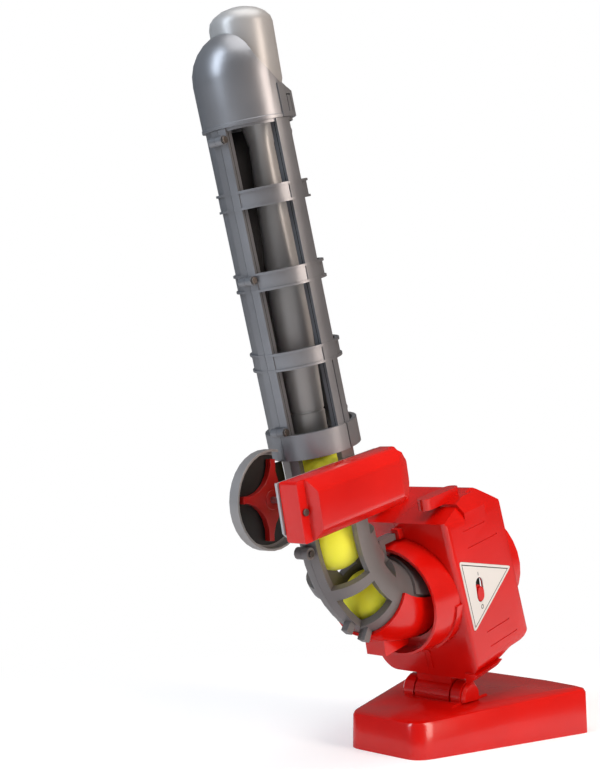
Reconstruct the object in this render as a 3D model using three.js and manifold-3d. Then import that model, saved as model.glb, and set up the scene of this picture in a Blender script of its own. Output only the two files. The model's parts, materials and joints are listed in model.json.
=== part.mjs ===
// A toy ball-pitching machine. A flared base carries a head that tilts on a knuckle. The head holds
// two pitching wheels in a split housing, and a curved chute, a star wheel and a tall open magazine
// with a hood feed it. The toy bat is stored in the magazine.
// Lengths are millimetres and angles are degrees. +X is the pitching direction, +Y the machine's
// left and +Z up. The origin is the centre of the base's underside.
import * as THREE from 'three';
import * as BufferGeometryUtils from 'three/addons/utils/BufferGeometryUtils.js';
import Module from 'manifold-3d';

const wasm = await Module();
wasm.setup();

// Clearances, cut lengths and facet counts
const fitGap = 0.3;
const cutOverrun = 2;
const wholeReach = 1500;
const fineSides = 32;
const middleSides = 20;
const smallSides = 12;
const cornerSteps = 3;
const railSteps = 2;
const edgeSteps = 2;

// The base, a shell that flares towards the front
const base = {
  length: 238,
  rearChamfer: 11,
  frontBow: 10,
  rearHalfWidth: 37.5,
  chamferHalfWidth: 47,
  frontHalfWidth: 108,
  rearHeight: 36,
  frontHeight: 49,
  wall: 2.5,
  edgeRound: 5,
  cornerRound: 9,
  draftShare: 0.012,
};
const basePad = { rearLength: 32, frontLength: 36, height: 2.2, slope: 3 };
const basePlate = { thickness: 2.5, trayWall: 2, trayHeight: 22 };
const baseScrew = {
  rearInset: 22,
  frontInset: 24,
  sideInset: 26,
  headRadius: 3,
  headHeight: 1,
  headRecess: 1.4,
  shankRadius: 1.3,
  length: 12,
  bossRadius: 4,
};

// The four cells, lying across the base in two rows
const cell = {
  radius: 17.1,
  length: 61.5,
  nubRadius: 4.75,
  nubHeight: 2,
  shoulder: 1,
  frontInset: 47.5,
  contactThickness: 0.6,
  contactHeight: 13,
  contactHalfWidth: 8,
};
const batteryDoor = { lift: 0.4, latchLength: 6, latchHalfWidth: 9, fingerRadius: 6, fingerDepth: 1.1 };

// The knuckle on which the head tilts
const tilt = {
  x: -17,
  z: 47,
  degrees: 13,
  barrelRadius: 17,
  barrelHalfLength: 22,
  washerThickness: 1.4,
  washerRadius: 12,
  pinRadius: 4,
  earThickness: 12,
  earFootSpread: 7,
  capThickness: 4,
  capRadius: 15.5,
  capRound: 2.5,
  troughClearance: 1.2,
  ridgeHeight: 0.8,
  ridgeWidth: 1.6,
  neckFrontLength: 17,
  neckRearLength: 8,
};
const ridgeDegrees = [145, 166];

// The housing: a leaning box with cut corners, in the head's frame
const housing = {
  footRearX: -10,
  wheelRoom: 46,
  leanShare: 0.139,
  bottomZ: 25,
  bottomRoom: 10,
  topRoom: 12,
  halfWidth: 64,
  wall: 2.3,
  cornerRound: 7,
  humpLength: 63,
  humpWidth: 15,
  humpRise: 4,
  humpY: 34,
  humpRearX: -33,
  grooveWidth: 1.6,
  grooveDepth: 0.8,
  bossRadius: 5,
};
// Shapes raised from the right half's skin: how far, and two opposite corners as shares of the
// length, the half width and the height
const housingPads = [
  { rise: 3, lowShares: [0.075, -1, 0.844], highShares: [0.434, -0.563, 0.979] },
  { rise: 4, lowShares: [-0.075, -1, -0.021], highShares: [0.396, -0.75, 0.042] },
  { rise: 1.5, lowShares: [-0.283, -0.109, 0.047], highShares: [-0.038, -0.047, 0.151] },
  { rise: 8, lowShares: [-0.472, -0.141, 0.8156], highShares: [-0.189, 0.078, 0.87] },
];
// The two screws in the front, as shares of the half width and the height
const frontScrewShares = { upper: [-0.656, 0.849], lower: [0.281, 0.1354] };
// Outline of the side, as shares of the length and the height
const housingSideShares = [
  [-0.47, 0], [0.387, 0], [0.52, 0.078], [0.81, 0.078], [1.3, 0.27],
  [1.3, 0.618], [0.51, 1], [-0.47, 0.868],
];
// Outline of the section across the machine, as shares of the half width and the height
const housingSectionShares = [[0.78, 0], [1, 0.078], [1, 0.89], [0.594, 1.033]];
// Grooves pressed into the sides: height share, start share and end share of the length
const housingGrooveShares = [
  [0.82, 0.01, 0.39], [0.724, 0.057, 0.585], [0.237, 0.18, 0.594], [0.151, 0.208, 0.708],
];

// The ball's way through the housing
const ballWay = { guideRadius: 31.8, guideWall: 1.9, guideRearOut: 8 };
const muzzle = {
  radius: 62,
  baseOut: 12.7,
  lipRadius: 50,
  lipOut: 20.7,
  mouthRadius: 46,
  boreRadius: 35,
  boreOut: 0.7,
  spigotWall: 3,
  spigotIn: 16.3,
  wall: 3,
};
const inlet = {
  radius: 61,
  bandOut: 7.3,
  rimRadius: 57,
  rimOut: 35.3,
  rimWall: 3,
  boreRadius: 54,
  floorOut: 14.3,
  floorThickness: 3,
  floorRadius: 44.4,
  lugDegrees: 108,
  lugHalfDegrees: 7,
  lugRise: 6,
  padRise: 2,
  padLowDegrees: -62,
  padHighDegrees: -8,
};

// The pitching wheels
const wheel = {
  frontRoom: 24.3,
  radius: 30,
  nip: 50,
  width: 22,
  tyreDepth: 6,
  crownDrop: 1.5,
  hubRadius: 8,
  webThickness: 6,
  rimWall: 2.5,
  shaftRadius: 2,
  motorRadius: 14,
  motorLength: 34,
  motorStart: 16,
  shaftInMotor: 4,
  motorNeckRadius: 5,
  motorNeckLength: 2,
  sleeveWall: 2,
  sleeveLength: 42,
  bearingRadius: 6,
};

// Sizes and places that the wheels give to the housing and to what sits in it
const housingLength = 2 * wheel.radius + housing.wheelRoom;
const housingHeight = 4 * wheel.radius + wheel.nip + housing.bottomRoom + housing.topRoom;
const ballWayZ = housing.bottomZ + housing.bottomRoom + 2 * wheel.radius + wheel.nip / 2;
const ballLine = { z: ballWayZ };
const housingRearAtBall = housing.footRearX - housing.leanShare * ballWayZ;
const housingFrontAtBall = housingRearAtBall + housingLength;
const wheelX = housingFrontAtBall - wheel.frontRoom - wheel.radius;

// The badge and the switch on the housing's right side
const badge = {
  recess: 1,
  proud: 0.3,
  cornerRound: 5,
  slotX: 7,
  slotZ: 116.6,
  slotWidth: 13,
  slotLength: 26,
};
const badgeCorners = { topRear: [-23, 155], topFront: [70, 123], bottom: [-12.6, 77] };
const slider = { length: 15, travel: 9, knobRise: 0.6, flangeThickness: 1.4, flangeMargin: 2, sideGap: 0.7 };
const switchBody = { length: 34, width: 16, depth: 9, footLength: 2.2 };

// The chute: the lower end of the magazine's line and a bend into the housing
const chute = {
  exitX: -35,
  bendRadius: 98,
  outer: 40,
  inner: 32,
  railHalfDegrees: 13,
  outerRailHalfDegrees: 15,
  topW: 10,
  topRing: 12,
  rungDegrees: 206,
  rungHalfDegrees: 2.7,
  pipeDegrees: 228,
  mouthDegrees: 268,
  thickDegrees: 246,
  thickRadius: 43.1,
  thickEdgeDegrees: 10,
  stepDegrees: 7.5,
  pipeSteps: 9,
  seam: 0.3,
  bossDegrees: 185,
  bossRadius: 6,
  bossHalfLength: 8,
  bossRise: 5.4,
  tabDepth: 6,
  tabRise: 9,
};
// Windows in the front of the bend: start and end along the bend, and across it
const chuteWindows = [
  { from: 185, to: 203, low: -60, high: -40 },
  { from: 209, to: 226, low: -58, high: -22 },
];
// Tabs under the bend: start and end along it, and across from the middle to the right
const chuteTabs = [
  { from: 222.5, to: 226, near: 0, far: 8 },
  { from: 230, to: 233.2, near: 7, far: 16 },
];
// The slot for the star wheel's arms, and the hook that reaches the housing
const chuteSlot = { low: [-200, -1, 228], high: [-150, 14, 301] };
const chuteHook = {
  rearX: -72,
  frontX: -44.3,
  riserFrontX: -63,
  halfWidth: 5,
  footZ: 164,
  lowZ: 181.6,
  highZ: 188,
};
const cup = {
  gap: 0.4,
  wall: 3,
  startDegrees: 234,
  edgeDegrees: 6,
  lugRearX: -96,
  lugFrontX: -57,
  lugHalfWidth: 12,
  lugBottomZ: 76,
  lugTopZ: 98,
};

// The magazine. Its own frame starts at its foot, with its axis along Z.
const magazine = {
  leanDegrees: 4.43,
  footZ: 301,
  length: 305.7,
  railOuter: 42.5,
  railInner: 33,
  railHalfDegrees: 12,
  grooveWidth: 1.4,
  grooveDepth: 0.9,
  ringHeight: 17,
  ringInner: 38.5,
  ringWaist: 41.6,
  ringLip: 43.2,
  ringLipHeight: 2.2,
  firstRingW: 82.5,
  ringPitch: 75,
  ringCount: 3,
  collarDrop: 2,
  collarTop: 22,
  collarRadius: 44.5,
  spigotRise: 12,
  spigotDrop: 2.5,
  backWall: 2.1,
  spigotWall: 2,
  bossRadius: 4.2,
  bossHalfLength: 8,
  bossOffset: 45,
  latchDepth: 5,
  latchHalfWidth: 6,
};
// Heights of the screw bosses over the magazine's foot
const magazineBosses = { top: 296, middle: 169, bottom: 26 };
const hood = {
  radius: 43,
  flare: 0.6,
  flareHeight: 3,
  wall: 2,
  straight: 43,
  earDegrees: -72,
  earHalfDegrees: 19,
  earRise: 1.4,
  earHeight: 30,
  slotWidth: 9,
  slotFoot: 4,
  slotHeight: 16,
  slotGap: 1.3,
  domeSteps: 7,
};
// The open front's edge, seen from the side: shares of the radius and of the dome's height over the
// hood's foot
const hoodEdgeShares = [
  [-0.37, 1.2], [-0.36, 0.92], [-0.37, 0.7], [-0.33, 0.62], [-0.25, 0.56], [-0.14, 0.49],
  [0, 0.41], [0.14, 0.345], [0.3, 0.3], [0.5, 0.27], [1.3, 0.25],
];

// The toy bat, standing in the magazine on the topmost ball
const bat = {
  footW: -5.2,
  leanDegrees: 2.8,
  axisCrossW: 60,
  length: 418,
  knobRadius: 16.8,
  gripRadius: 18.6,
  waistRadius: 15.6,
  handleRadius: 12,
  neckRadius: 16,
  flareRadius: 24.5,
  headRadius: 29.75,
  footRound: 1.5,
  grooveAlong: 40,
  grooveDepth: 1,
  grooveWidth: 2,
  domeHeight: 17,
  domeSteps: 5,
};
// Places along the bat, as shares of its length from the foot
const batShares = { grip: 0.36, waist: 0.47, handle: 0.7, neck: 0.75, flare: 0.79, head: 0.835 };

const ball = { radius: 29.5, sides: 20 };
// Ball centres: across and up, in the head's frame
const ballPlaces = [[-136.2, 265.9], [-134.5, 206.6], [-89.2, 134]];

// The feeder: a gearbox beside the chute that turns the star wheel behind it
const feeder = {
  starX: -206,
  starZ: 264.5,
  starRadius: 37.8,
  starFlankRadius: 31,
  starFlankOffset: 48,
  starThickness: 6,
  starY: 6,
  starHubRadius: 9,
  starHubLength: 7.4,
  starDegrees: 76.5,
  dishRadius: 46.8,
  dishWall: 2.3,
  dishNearY: 1.5,
  dishFarY: 12.4,
  shaftRadius: 3,
  shaftNearY: -70,
  shaftFarY: 11.7,
  plateY: -40.4,
  plateThickness: 2.6,
  plateRearX: -245,
  plateFrontX: -92,
  plateBottomZ: 234.5,
  plateTopZ: 290,
  plateCornerCut: 10,
  boxRearX: -243,
  boxFrontX: -80,
  boxBottomZ: 235.5,
  boxTopZ: 291,
  boxDepth: 33,
  flangeLength: 10,
  flangeDepth: 21,
  slopeLength: 3,
  boxEdge: 11,
  boxCorner: 17,
  boxRound: 3,
  boxWall: 2.2,
  rimLength: 8,
  rimDepth: 17,
  endSlope: 24,
  endDepth: 10,
  screwX: -237.5,
  screwZ: 263,
  screwLength: 20,
  bossRadius: 4.6,
  axleBossRadius: 4.2,
  axleBossY: -66.5,
  shaftBossRadius: 5,
  shaftBossY: -58,
  wheelY: -61,
  gearY: -52,
  motorRadius: 11.5,
  motorRearX: -176,
  motorFrontX: -140,
  motorShaftRadius: 1,
  cradleThickness: 3,
  cradleInset: 6,
  notchX: -190,
  notchZ: 295,
};
const gears = {
  module: 1.2,
  addendumShare: 0.9,
  dedendumShare: 1.25,
  tipHalfShare: 0.09,
  rootHalfShare: 0.32,
  starTeeth: 24,
  pinionTeeth: 8,
  wheelTeeth: 16,
  faceWidth: 5,
  axleRadius: 2,
  dropDegrees: 30,
  // The teeth stand clear of each other too, because each gear can turn alone
  meshGap: 2.5,
};
const worm = {
  lead: 4,
  turns: 5,
  radius: 5.2,
  rootRadius: 3,
  // The thread stands clear of the gear's teeth, so that either one can turn alone
  meshGap: 2.1,
  stepsPerTurn: 6,
  valleyShare: 0.28,
  crestShare: 0.42,
};
const screw = { headRadius: 3.4, headHeight: 2, shankRadius: 1.4, length: 14, recess: 2.4 };

// Materials
function plastic(color, roughness) {
  return new THREE.MeshStandardMaterial({ color, roughness, metalness: 0 });
}
const redPlastic = plastic(0xd8160e, 0.22);
const silverPlastic = plastic(0x9a9ba2, 0.34);
const greyPlastic = plastic(0x77706f, 0.42);
const blackPlastic = plastic(0x1b1b1d, 0.5);
const whitePlastic = plastic(0xf2f1ee, 0.4);
const foam = plastic(0xf4e832, 0.9);
const rubber = plastic(0x2a2a2c, 0.85);
const steel = new THREE.MeshStandardMaterial({ color: 0xb4b6ba, roughness: 0.3, metalness: 1 });
const cellJacket = plastic(0x31566f, 0.4);

// Solids from three.js geometries
function solidFrom(geometry) {
  const bare = geometry.clone();
  bare.deleteAttribute('normal');
  bare.deleteAttribute('uv');
  const merged = BufferGeometryUtils.mergeVertices(bare);
  return new wasm.Manifold(new wasm.Mesh({
    numProp: merged.attributes.position.itemSize,
    vertProperties: merged.attributes.position.array,
    triVerts: Uint32Array.from(merged.index.array),
  }));
}

function geometryFrom(solid) {
  const mesh = solid.getMesh();
  const geometry = new THREE.BufferGeometry();
  geometry.setAttribute('position', new THREE.BufferAttribute(mesh.vertProperties, mesh.numProp));
  geometry.setIndex(new THREE.BufferAttribute(mesh.triVerts, 1));
  return geometry;
}

function joined(solids) {
  return solids.reduce((whole, solid) => whole.add(solid));
}

function without(solid, cuts) {
  return cuts.reduce((rest, cut) => rest.subtract(cut), solid);
}

function part(name, solid, material) {
  const mesh = new THREE.Mesh(geometryFrom(solid), material);
  mesh.name = name;
  return mesh;
}

// A box between two corners
function block(low, high) {
  const size = high.map((value, axis) => value - low[axis]);
  const geometry = new THREE.BoxGeometry(...size);
  geometry.translate(...low.map((value, axis) => value + size[axis] / 2));
  return solidFrom(geometry);
}

// A round rod along one axis. at gives its place on the other two axes.
function rod(axis, at, radius, from, to, sides) {
  const geometry = new THREE.CylinderGeometry(radius, radius, to - from, sides);
  const centre = new THREE.Vector3(at.x ?? 0, at.y ?? 0, at.z ?? 0);
  centre[axis] = (from + to) / 2;
  turnUp(geometry, axis);
  geometry.translate(centre.x, centre.y, centre.z);
  return solidFrom(geometry);
}

// A solid of revolution about one axis. The closed profile gives radius and place along the axis.
function turned(axis, at, profile, sides) {
  const points = profile.map(([radius, along]) => new THREE.Vector2(radius, along));
  if (THREE.ShapeUtils.area(points) < 0) {
    points.reverse();
  }
  points.push(points[0].clone());
  const geometry = new THREE.LatheGeometry(points, sides);
  turnUp(geometry, axis);
  geometry.translate(at.x ?? 0, at.y ?? 0, at.z ?? 0);
  return solidFrom(geometry);
}

// Turns a geometry that stands along Y to stand along another axis
function turnUp(geometry, axis) {
  if (axis === 'x') {
    geometry.rotateZ(-Math.PI / 2);
  }
  if (axis === 'z') {
    geometry.rotateX(Math.PI / 2);
  }
}

function shapeOf(points) {
  return new THREE.Shape(points.map(([across, up]) => new THREE.Vector2(across, up)));
}

// The same outline with each corner rounded
function roundedShape(points, radius) {
  const corners = points.map(([across, up]) => new THREE.Vector2(across, up));
  const shape = new THREE.Shape();
  corners.forEach((corner, index) => {
    const enter = towards(corner, corners.at(index - 1), radius);
    const leave = towards(corner, corners[(index + 1) % corners.length], radius);
    if (index === 0) {
      shape.moveTo(enter.x, enter.y);
    } else {
      shape.lineTo(enter.x, enter.y);
    }
    shape.quadraticCurveTo(corner.x, corner.y, leave.x, leave.y);
  });
  return shape;
}

function towards(corner, other, radius) {
  const cornerShare = 0.48;
  const way = new THREE.Vector2().subVectors(other, corner);
  const reach = Math.min(radius, way.length() * cornerShare);
  return corner.clone().addScaledVector(way.normalize(), reach);
}

// The outline moved inwards by a distance. Its points go round anticlockwise.
function insetOutline(points, distance) {
  const edges = points.map(([across, up], index) => {
    const next = points[(index + 1) % points.length];
    const along = new THREE.Vector2(next[0] - across, next[1] - up).normalize();
    const start = new THREE.Vector2(across, up);
    start.addScaledVector(new THREE.Vector2(-along.y, along.x), distance);
    return { start, along };
  });
  return edges.map((edge, index) => {
    const before = edges.at(index - 1);
    const gap = new THREE.Vector2().subVectors(edge.start, before.start);
    const reach = gap.cross(edge.along) / before.along.cross(edge.along);
    const corner = before.start.clone().addScaledVector(before.along, reach);
    return [corner.x, corner.y];
  });
}

// A shape extruded along an axis. Its outline is (x, y) along Z, (x, z) along Y or (y, z) along X.
function prism(axis, shape, from, to, steps = cornerSteps) {
  const options = { depth: to - from, bevelEnabled: false, curveSegments: steps };
  const geometry = new THREE.ExtrudeGeometry(shape, options);
  if (axis === 'z') {
    geometry.translate(0, 0, from);
  }
  if (axis === 'y') {
    geometry.rotateX(Math.PI / 2);
    geometry.translate(0, to, 0);
  }
  if (axis === 'x') {
    const turn = new THREE.Matrix4().makeBasis(
      new THREE.Vector3(0, 1, 0), new THREE.Vector3(0, 0, 1), new THREE.Vector3(1, 0, 0));
    geometry.applyMatrix4(turn);
    geometry.translate(from, 0, 0);
  }
  return solidFrom(geometry);
}

// The points of a shape's outline at one height
function layerOf(shape, z, steps = cornerSteps) {
  return shape.extractPoints(steps).shape.map((point) => new THREE.Vector3(point.x, point.y, z));
}

// A solid through level outlines with the same number of points, from the lowest to the highest
function lofted(layers) {
  return solidFrom(loftGeometry(layers));
}

function loftGeometry(layers) {
  const count = layers[0].length;
  const faces = [];
  for (let level = 0; level + 1 < layers.length; level += 1) {
    for (let index = 0; index < count; index += 1) {
      const low = level * count + index;
      const next = level * count + (index + 1) % count;
      faces.push([low, next, next + count], [low, next + count, low + count]);
    }
  }
  const lastLevel = (layers.length - 1) * count;
  const flat = (layer) => layer.map((point) => new THREE.Vector2(point.x, point.y));
  for (const [a, b, c] of THREE.ShapeUtils.triangulateShape(flat(layers[0]), [])) {
    faces.push([c, b, a]);
  }
  for (const [a, b, c] of THREE.ShapeUtils.triangulateShape(flat(layers.at(-1)), [])) {
    faces.push([lastLevel + a, lastLevel + b, lastLevel + c]);
  }
  const geometry = new THREE.BufferGeometry().setFromPoints(layers.flat());
  geometry.setIndex(faces.flat());
  return geometry;
}

// A part of a ring's outline, between two radii and two angles
function sectorShape(inner, outer, fromDegrees, toDegrees) {
  const from = THREE.MathUtils.degToRad(fromDegrees);
  const to = THREE.MathUtils.degToRad(toDegrees);
  const shape = new THREE.Shape();
  shape.absarc(0, 0, outer, from, to, false);
  shape.absarc(0, 0, inner, to, from, true);
  return shape;
}

// A rounded slot outline centred on a point, longer along the first direction or upright
function stadium(centre, length, width, upright) {
  const round = width / 2;
  const straight = length / 2 - round;
  const start = upright ? 0 : -Math.PI / 2;
  const shiftX = upright ? 0 : straight;
  const shiftY = upright ? straight : 0;
  const shape = new THREE.Shape();
  shape.absarc(centre[0] + shiftX, centre[1] + shiftY, round, start, start + Math.PI, false);
  shape.absarc(centre[0] - shiftX, centre[1] - shiftY, round, start + Math.PI, start + 2 * Math.PI, false);
  return shape;
}

// The half of a solid on one side of the middle plane, with half the seam's gap taken off
function halfOf(solid, side, seam) {
  const inner = side * seam / 2;
  const outer = side * wholeReach;
  const low = [-wholeReach, Math.min(inner, outer), -wholeReach];
  const high = [wholeReach, Math.max(inner, outer), wholeReach];
  return solid.intersect(block(low, high));
}

function pointAt(radius, degrees) {
  const angle = THREE.MathUtils.degToRad(degrees);
  return [radius * Math.cos(angle), radius * Math.sin(angle)];
}

// The base
function baseHeightAt(x) {
  return THREE.MathUtils.lerp(base.rearHeight, base.frontHeight, x / base.length + 1 / 2);
}

function baseOutline() {
  const rear = -base.length / 2;
  const corner = base.length / 2 - base.frontBow;
  const bowShares = [-1, -0.5, 0.5, 1];
  const front = bowShares.map((share) => [
    corner + base.frontBow * (1 - share * share), share * base.frontHalfWidth]);
  return [
    [rear, -base.rearHalfWidth],
    [rear + base.rearChamfer, -base.chamferHalfWidth],
    ...front,
    [rear + base.rearChamfer, base.chamferHalfWidth],
    [rear, base.rearHalfWidth],
  ];
}

// The base's outer form, or one moved inwards. It runs on below the floor plane.
function baseForm(inset) {
  const top = base.frontHeight - inset;
  const layers = [baseLayer(inset, -cutOverrun)];
  for (let step = 0; step <= edgeSteps; step += 1) {
    const [level, fall] = pointAt(base.edgeRound, 90 * step / edgeSteps);
    layers.push(baseLayer(inset + base.edgeRound - level, top - base.edgeRound + fall));
  }
  for (const point of layers.flat()) {
    const upShare = point.z / top;
    point.y *= 1 + base.draftShare * (1 - upShare);
    if (upShare > 0) {
      point.z = upShare * (baseHeightAt(point.x) - inset);
    }
  }
  return lofted(layers);
}

function baseLayer(inset, z) {
  const outline = insetOutline(baseOutline(), inset);
  const shape = roundedShape(outline, base.cornerRound);
  return layerOf(shape, z);
}

function earOutline() {
  const startDegrees = -20;
  const sweepDegrees = 220;
  const arc = [];
  for (let step = 0; step <= smallSides; step += 1) {
    const [across, up] = pointAt(tilt.barrelRadius, startDegrees + sweepDegrees * step / smallSides);
    arc.push([tilt.x + across, tilt.z + up]);
  }
  const reach = tilt.barrelRadius + tilt.earFootSpread;
  const footZ = baseHeightAt(tilt.x - reach) - base.wall / 2;
  return [...arc, [tilt.x - reach, footZ], [tilt.x + reach, footZ]];
}

const tiltAxis = { x: tilt.x, z: tilt.z };
const earInner = tilt.barrelHalfLength + tilt.washerThickness + 2 * fitGap;
const earOuter = earInner + tilt.earThickness;
const pinBore = tilt.pinRadius + fitGap;
const troughRadius = tilt.barrelRadius + tilt.troughClearance;

function baseScrewPlaces() {
  const frontX = base.length / 2 - baseScrew.frontInset;
  const frontY = base.frontHalfWidth - baseScrew.sideInset;
  return [[baseScrew.rearInset - base.length / 2, 0], [frontX, frontY], [frontX, -frontY]];
}

function makeBaseShell() {
  const outer = baseForm(0);
  const padRear = tilt.x - basePad.rearLength;
  const padFront = tilt.x + basePad.frontLength;
  const pad = prism('y', shapeOf([
    [padRear, baseHeightAt(padRear) - base.wall / 2],
    [padFront, baseHeightAt(padFront) - base.wall / 2],
    [padFront, baseHeightAt(padFront)],
    [padFront - basePad.slope, baseHeightAt(padFront) + basePad.height],
    [padRear + basePad.slope, baseHeightAt(padRear) + basePad.height],
    [padRear, baseHeightAt(padRear)],
  ]), -earOuter, earOuter);
  const trough = rod('y', tiltAxis, troughRadius + base.wall, -earInner - base.wall, earInner + base.wall,
    middleSides).intersect(outer);
  const bosses = baseScrewPlaces().map(([x, y]) => rod('z', { x, y }, baseScrew.bossRadius,
    basePlate.thickness + fitGap, baseHeightAt(x) - base.wall / 2, smallSides));
  const ears = [-1, 1].map((side) => prism('y', shapeOf(earOutline()),
    Math.min(side * earInner, side * earOuter), Math.max(side * earInner, side * earOuter)));
  const shell = joined([without(outer, [baseForm(base.wall)]), pad, trough, ...bosses, ...ears]);
  const pilots = baseScrewPlaces().map(([x, y]) => rod('z', { x, y }, baseScrew.shankRadius + fitGap,
    0, baseScrew.headRecess + baseScrew.length + fitGap, smallSides));
  return without(shell, [
    block([-wholeReach, -wholeReach, -wholeReach], [wholeReach, wholeReach, 0]),
    rod('y', tiltAxis, troughRadius, -earInner, earInner, middleSides),
    rod('y', tiltAxis, pinBore, -earOuter - cutOverrun, earOuter + cutOverrun, smallSides),
    ...pilots,
  ]);
}

const frontRowX = base.length / 2 - cell.frontInset;
const rearRowX = frontRowX - 2 * cell.radius - 2 * fitGap;
const doorTopZ = batteryDoor.lift + basePlate.thickness;
const cellZ = doorTopZ + fitGap + cell.radius;
const cellEndY = cell.length + fitGap / 2;
const contactY = cellEndY + fitGap;
const trayY = contactY + cell.contactThickness + fitGap;
const bay = {
  rearX: rearRowX - cell.radius - fitGap,
  frontX: frontRowX + cell.radius + fitGap,
  halfWidth: cellEndY + fitGap / 2,
};

function makeBasePlate() {
  const inset = base.wall + fitGap;
  const outline = insetOutline(baseOutline(), inset);
  const plate = prism('z', roundedShape(outline, base.cornerRound - inset), 0, basePlate.thickness);
  const tray = [-1, 1].map((side) => {
    const inner = side * trayY;
    const outer = side * (trayY + basePlate.trayWall);
    return block([bay.rearX, Math.min(inner, outer), basePlate.thickness - fitGap],
      [bay.frontX, Math.max(inner, outer), basePlate.trayHeight]);
  });
  const latch = block(
    [bay.frontX - fitGap, -batteryDoor.latchHalfWidth - fitGap, -cutOverrun],
    [bay.frontX + batteryDoor.latchLength + fitGap, batteryDoor.latchHalfWidth + fitGap,
      basePlate.thickness + cutOverrun]);
  const holes = baseScrewPlaces().flatMap(([x, y]) => [
    rod('z', { x, y }, baseScrew.shankRadius + fitGap, -cutOverrun, basePlate.thickness + cutOverrun,
      smallSides),
    rod('z', { x, y }, baseScrew.headRadius + fitGap, -cutOverrun, baseScrew.headRecess, smallSides),
  ]);
  const doorway = block([bay.rearX, -bay.halfWidth, -cutOverrun],
    [bay.frontX, bay.halfWidth, basePlate.thickness + cutOverrun]);
  return without(joined([plate, ...tray]), [doorway, latch, ...holes]);
}

function makeBatteryDoor() {
  const panel = block([bay.rearX + fitGap, -bay.halfWidth + fitGap, batteryDoor.lift],
    [bay.frontX - fitGap, bay.halfWidth - fitGap, doorTopZ]);
  const tongue = block([bay.frontX - 2 * fitGap, -batteryDoor.latchHalfWidth, batteryDoor.lift],
    [bay.frontX + batteryDoor.latchLength, batteryDoor.latchHalfWidth, doorTopZ]);
  const finger = rod('z', { x: bay.frontX }, batteryDoor.fingerRadius, -cutOverrun,
    batteryDoor.lift + batteryDoor.fingerDepth, smallSides);
  return without(joined([panel, tongue]), [finger]);
}

// side is the way the nub points, and row the place along X
function makeCell(row, start, side) {
  const body = cell.length - cell.nubHeight;
  const profile = [
    [0, 0], [cell.radius - cell.shoulder, 0], [cell.radius, cell.shoulder],
    [cell.radius, body - cell.shoulder], [cell.radius - cell.shoulder, body],
    [cell.nubRadius, body], [cell.nubRadius, cell.length], [0, cell.length],
  ];
  const placed = side > 0 ? profile : profile.map(([radius, along]) => [radius, cell.length - along]);
  return turned('y', { x: row, y: start, z: cellZ }, placed, smallSides);
}

function makeContact(side) {
  const inner = side * contactY;
  const outer = side * (contactY + cell.contactThickness);
  return block(
    [rearRowX - cell.contactHalfWidth, Math.min(inner, outer), cellZ - cell.contactHeight],
    [frontRowX + cell.contactHalfWidth, Math.max(inner, outer), trayTopZ()]);
}

function trayTopZ() {
  return Math.min(cellZ + cell.nubRadius, basePlate.trayHeight);
}

// A screw along an axis. Its head starts at headAt, and the shank runs on in the direction of side.
function makeScrew(axis, at, headAt, side, sizes) {
  const headEnd = headAt + side * sizes.headHeight;
  const tip = headEnd + side * sizes.length;
  const slotWidth = sizes.shankRadius / 2;
  const head = rod(axis, at, sizes.headRadius, Math.min(headAt, headEnd), Math.max(headAt, headEnd),
    smallSides);
  const shank = rod(axis, at, sizes.shankRadius, Math.min(headAt + side * slotWidth, tip),
    Math.max(headAt + side * slotWidth, tip), smallSides);
  return head.add(shank);
}

function makeBase() {
  const group = new THREE.Group();
  const left = fitGap / 2;
  const right = -fitGap / 2 - cell.length;
  group.add(part('base_shell', makeBaseShell(), redPlastic));
  group.add(part('base_plate', makeBasePlate(), redPlastic));
  group.add(part('battery_door', makeBatteryDoor(), redPlastic));
  group.add(part('battery_cell_1', makeCell(rearRowX, left, 1), cellJacket));
  group.add(part('battery_cell_2', makeCell(rearRowX, right, 1), cellJacket));
  group.add(part('battery_cell_3', makeCell(frontRowX, left, -1), cellJacket));
  group.add(part('battery_cell_4', makeCell(frontRowX, right, -1), cellJacket));
  group.add(part('battery_contact_left', makeContact(1), steel));
  group.add(part('battery_contact_right', makeContact(-1), steel));
  baseScrewPlaces().forEach(([x, y], index) => {
    const solid = makeScrew('z', { x, y }, baseScrew.headRecess - baseScrew.headHeight - fitGap, 1,
      baseScrew);
    group.add(part(`base_screw_${index + 1}`, solid, steel));
  });
  const pinHalf = earOuter - fitGap;
  group.add(part('hinge_pin', rod('y', tiltAxis, tilt.pinRadius, -pinHalf, pinHalf, smallSides), steel));
  for (const [name, side] of [['left', 1], ['right', -1]]) {
    const start = tilt.barrelHalfLength + fitGap;
    const washer = rod('y', tiltAxis, tilt.washerRadius, start, start + tilt.washerThickness, middleSides);
    const bored = washer.subtract(rod('y', tiltAxis, pinBore, 0, wholeReach, smallSides));
    group.add(part(`friction_washer_${name}`, mirrored(bored, side), blackPlastic));
    group.add(part(`pivot_cap_${name}`, mirrored(makePivotCap(), side), redPlastic));
  }
  return group;
}

// The solid itself on the left side, or its mirror image across the middle plane
function mirrored(solid, side) {
  return side > 0 ? solid : solid.mirror([0, 1, 0]);
}

// The cap over the pin's end, cut off where it would reach into the base
function makePivotCap() {
  const start = earOuter + fitGap;
  const end = start + tilt.capThickness;
  const cap = turned('y', tiltAxis, [
    [0, start], [tilt.capRadius, start], [tilt.capRadius, end - tilt.capRound],
    [tilt.capRadius - tilt.capRound, end], [0, end],
  ], middleSides);
  const footZ = baseHeightAt(tilt.x + tilt.capRadius) + fitGap;
  return cap.intersect(block([-wholeReach, 0, footZ], [wholeReach, wholeReach, wholeReach]));
}

// The head. Its frame starts on the knuckle's axis and is pitched up.
const headPivot = { x: 0, y: 0, z: 0 };

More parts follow.
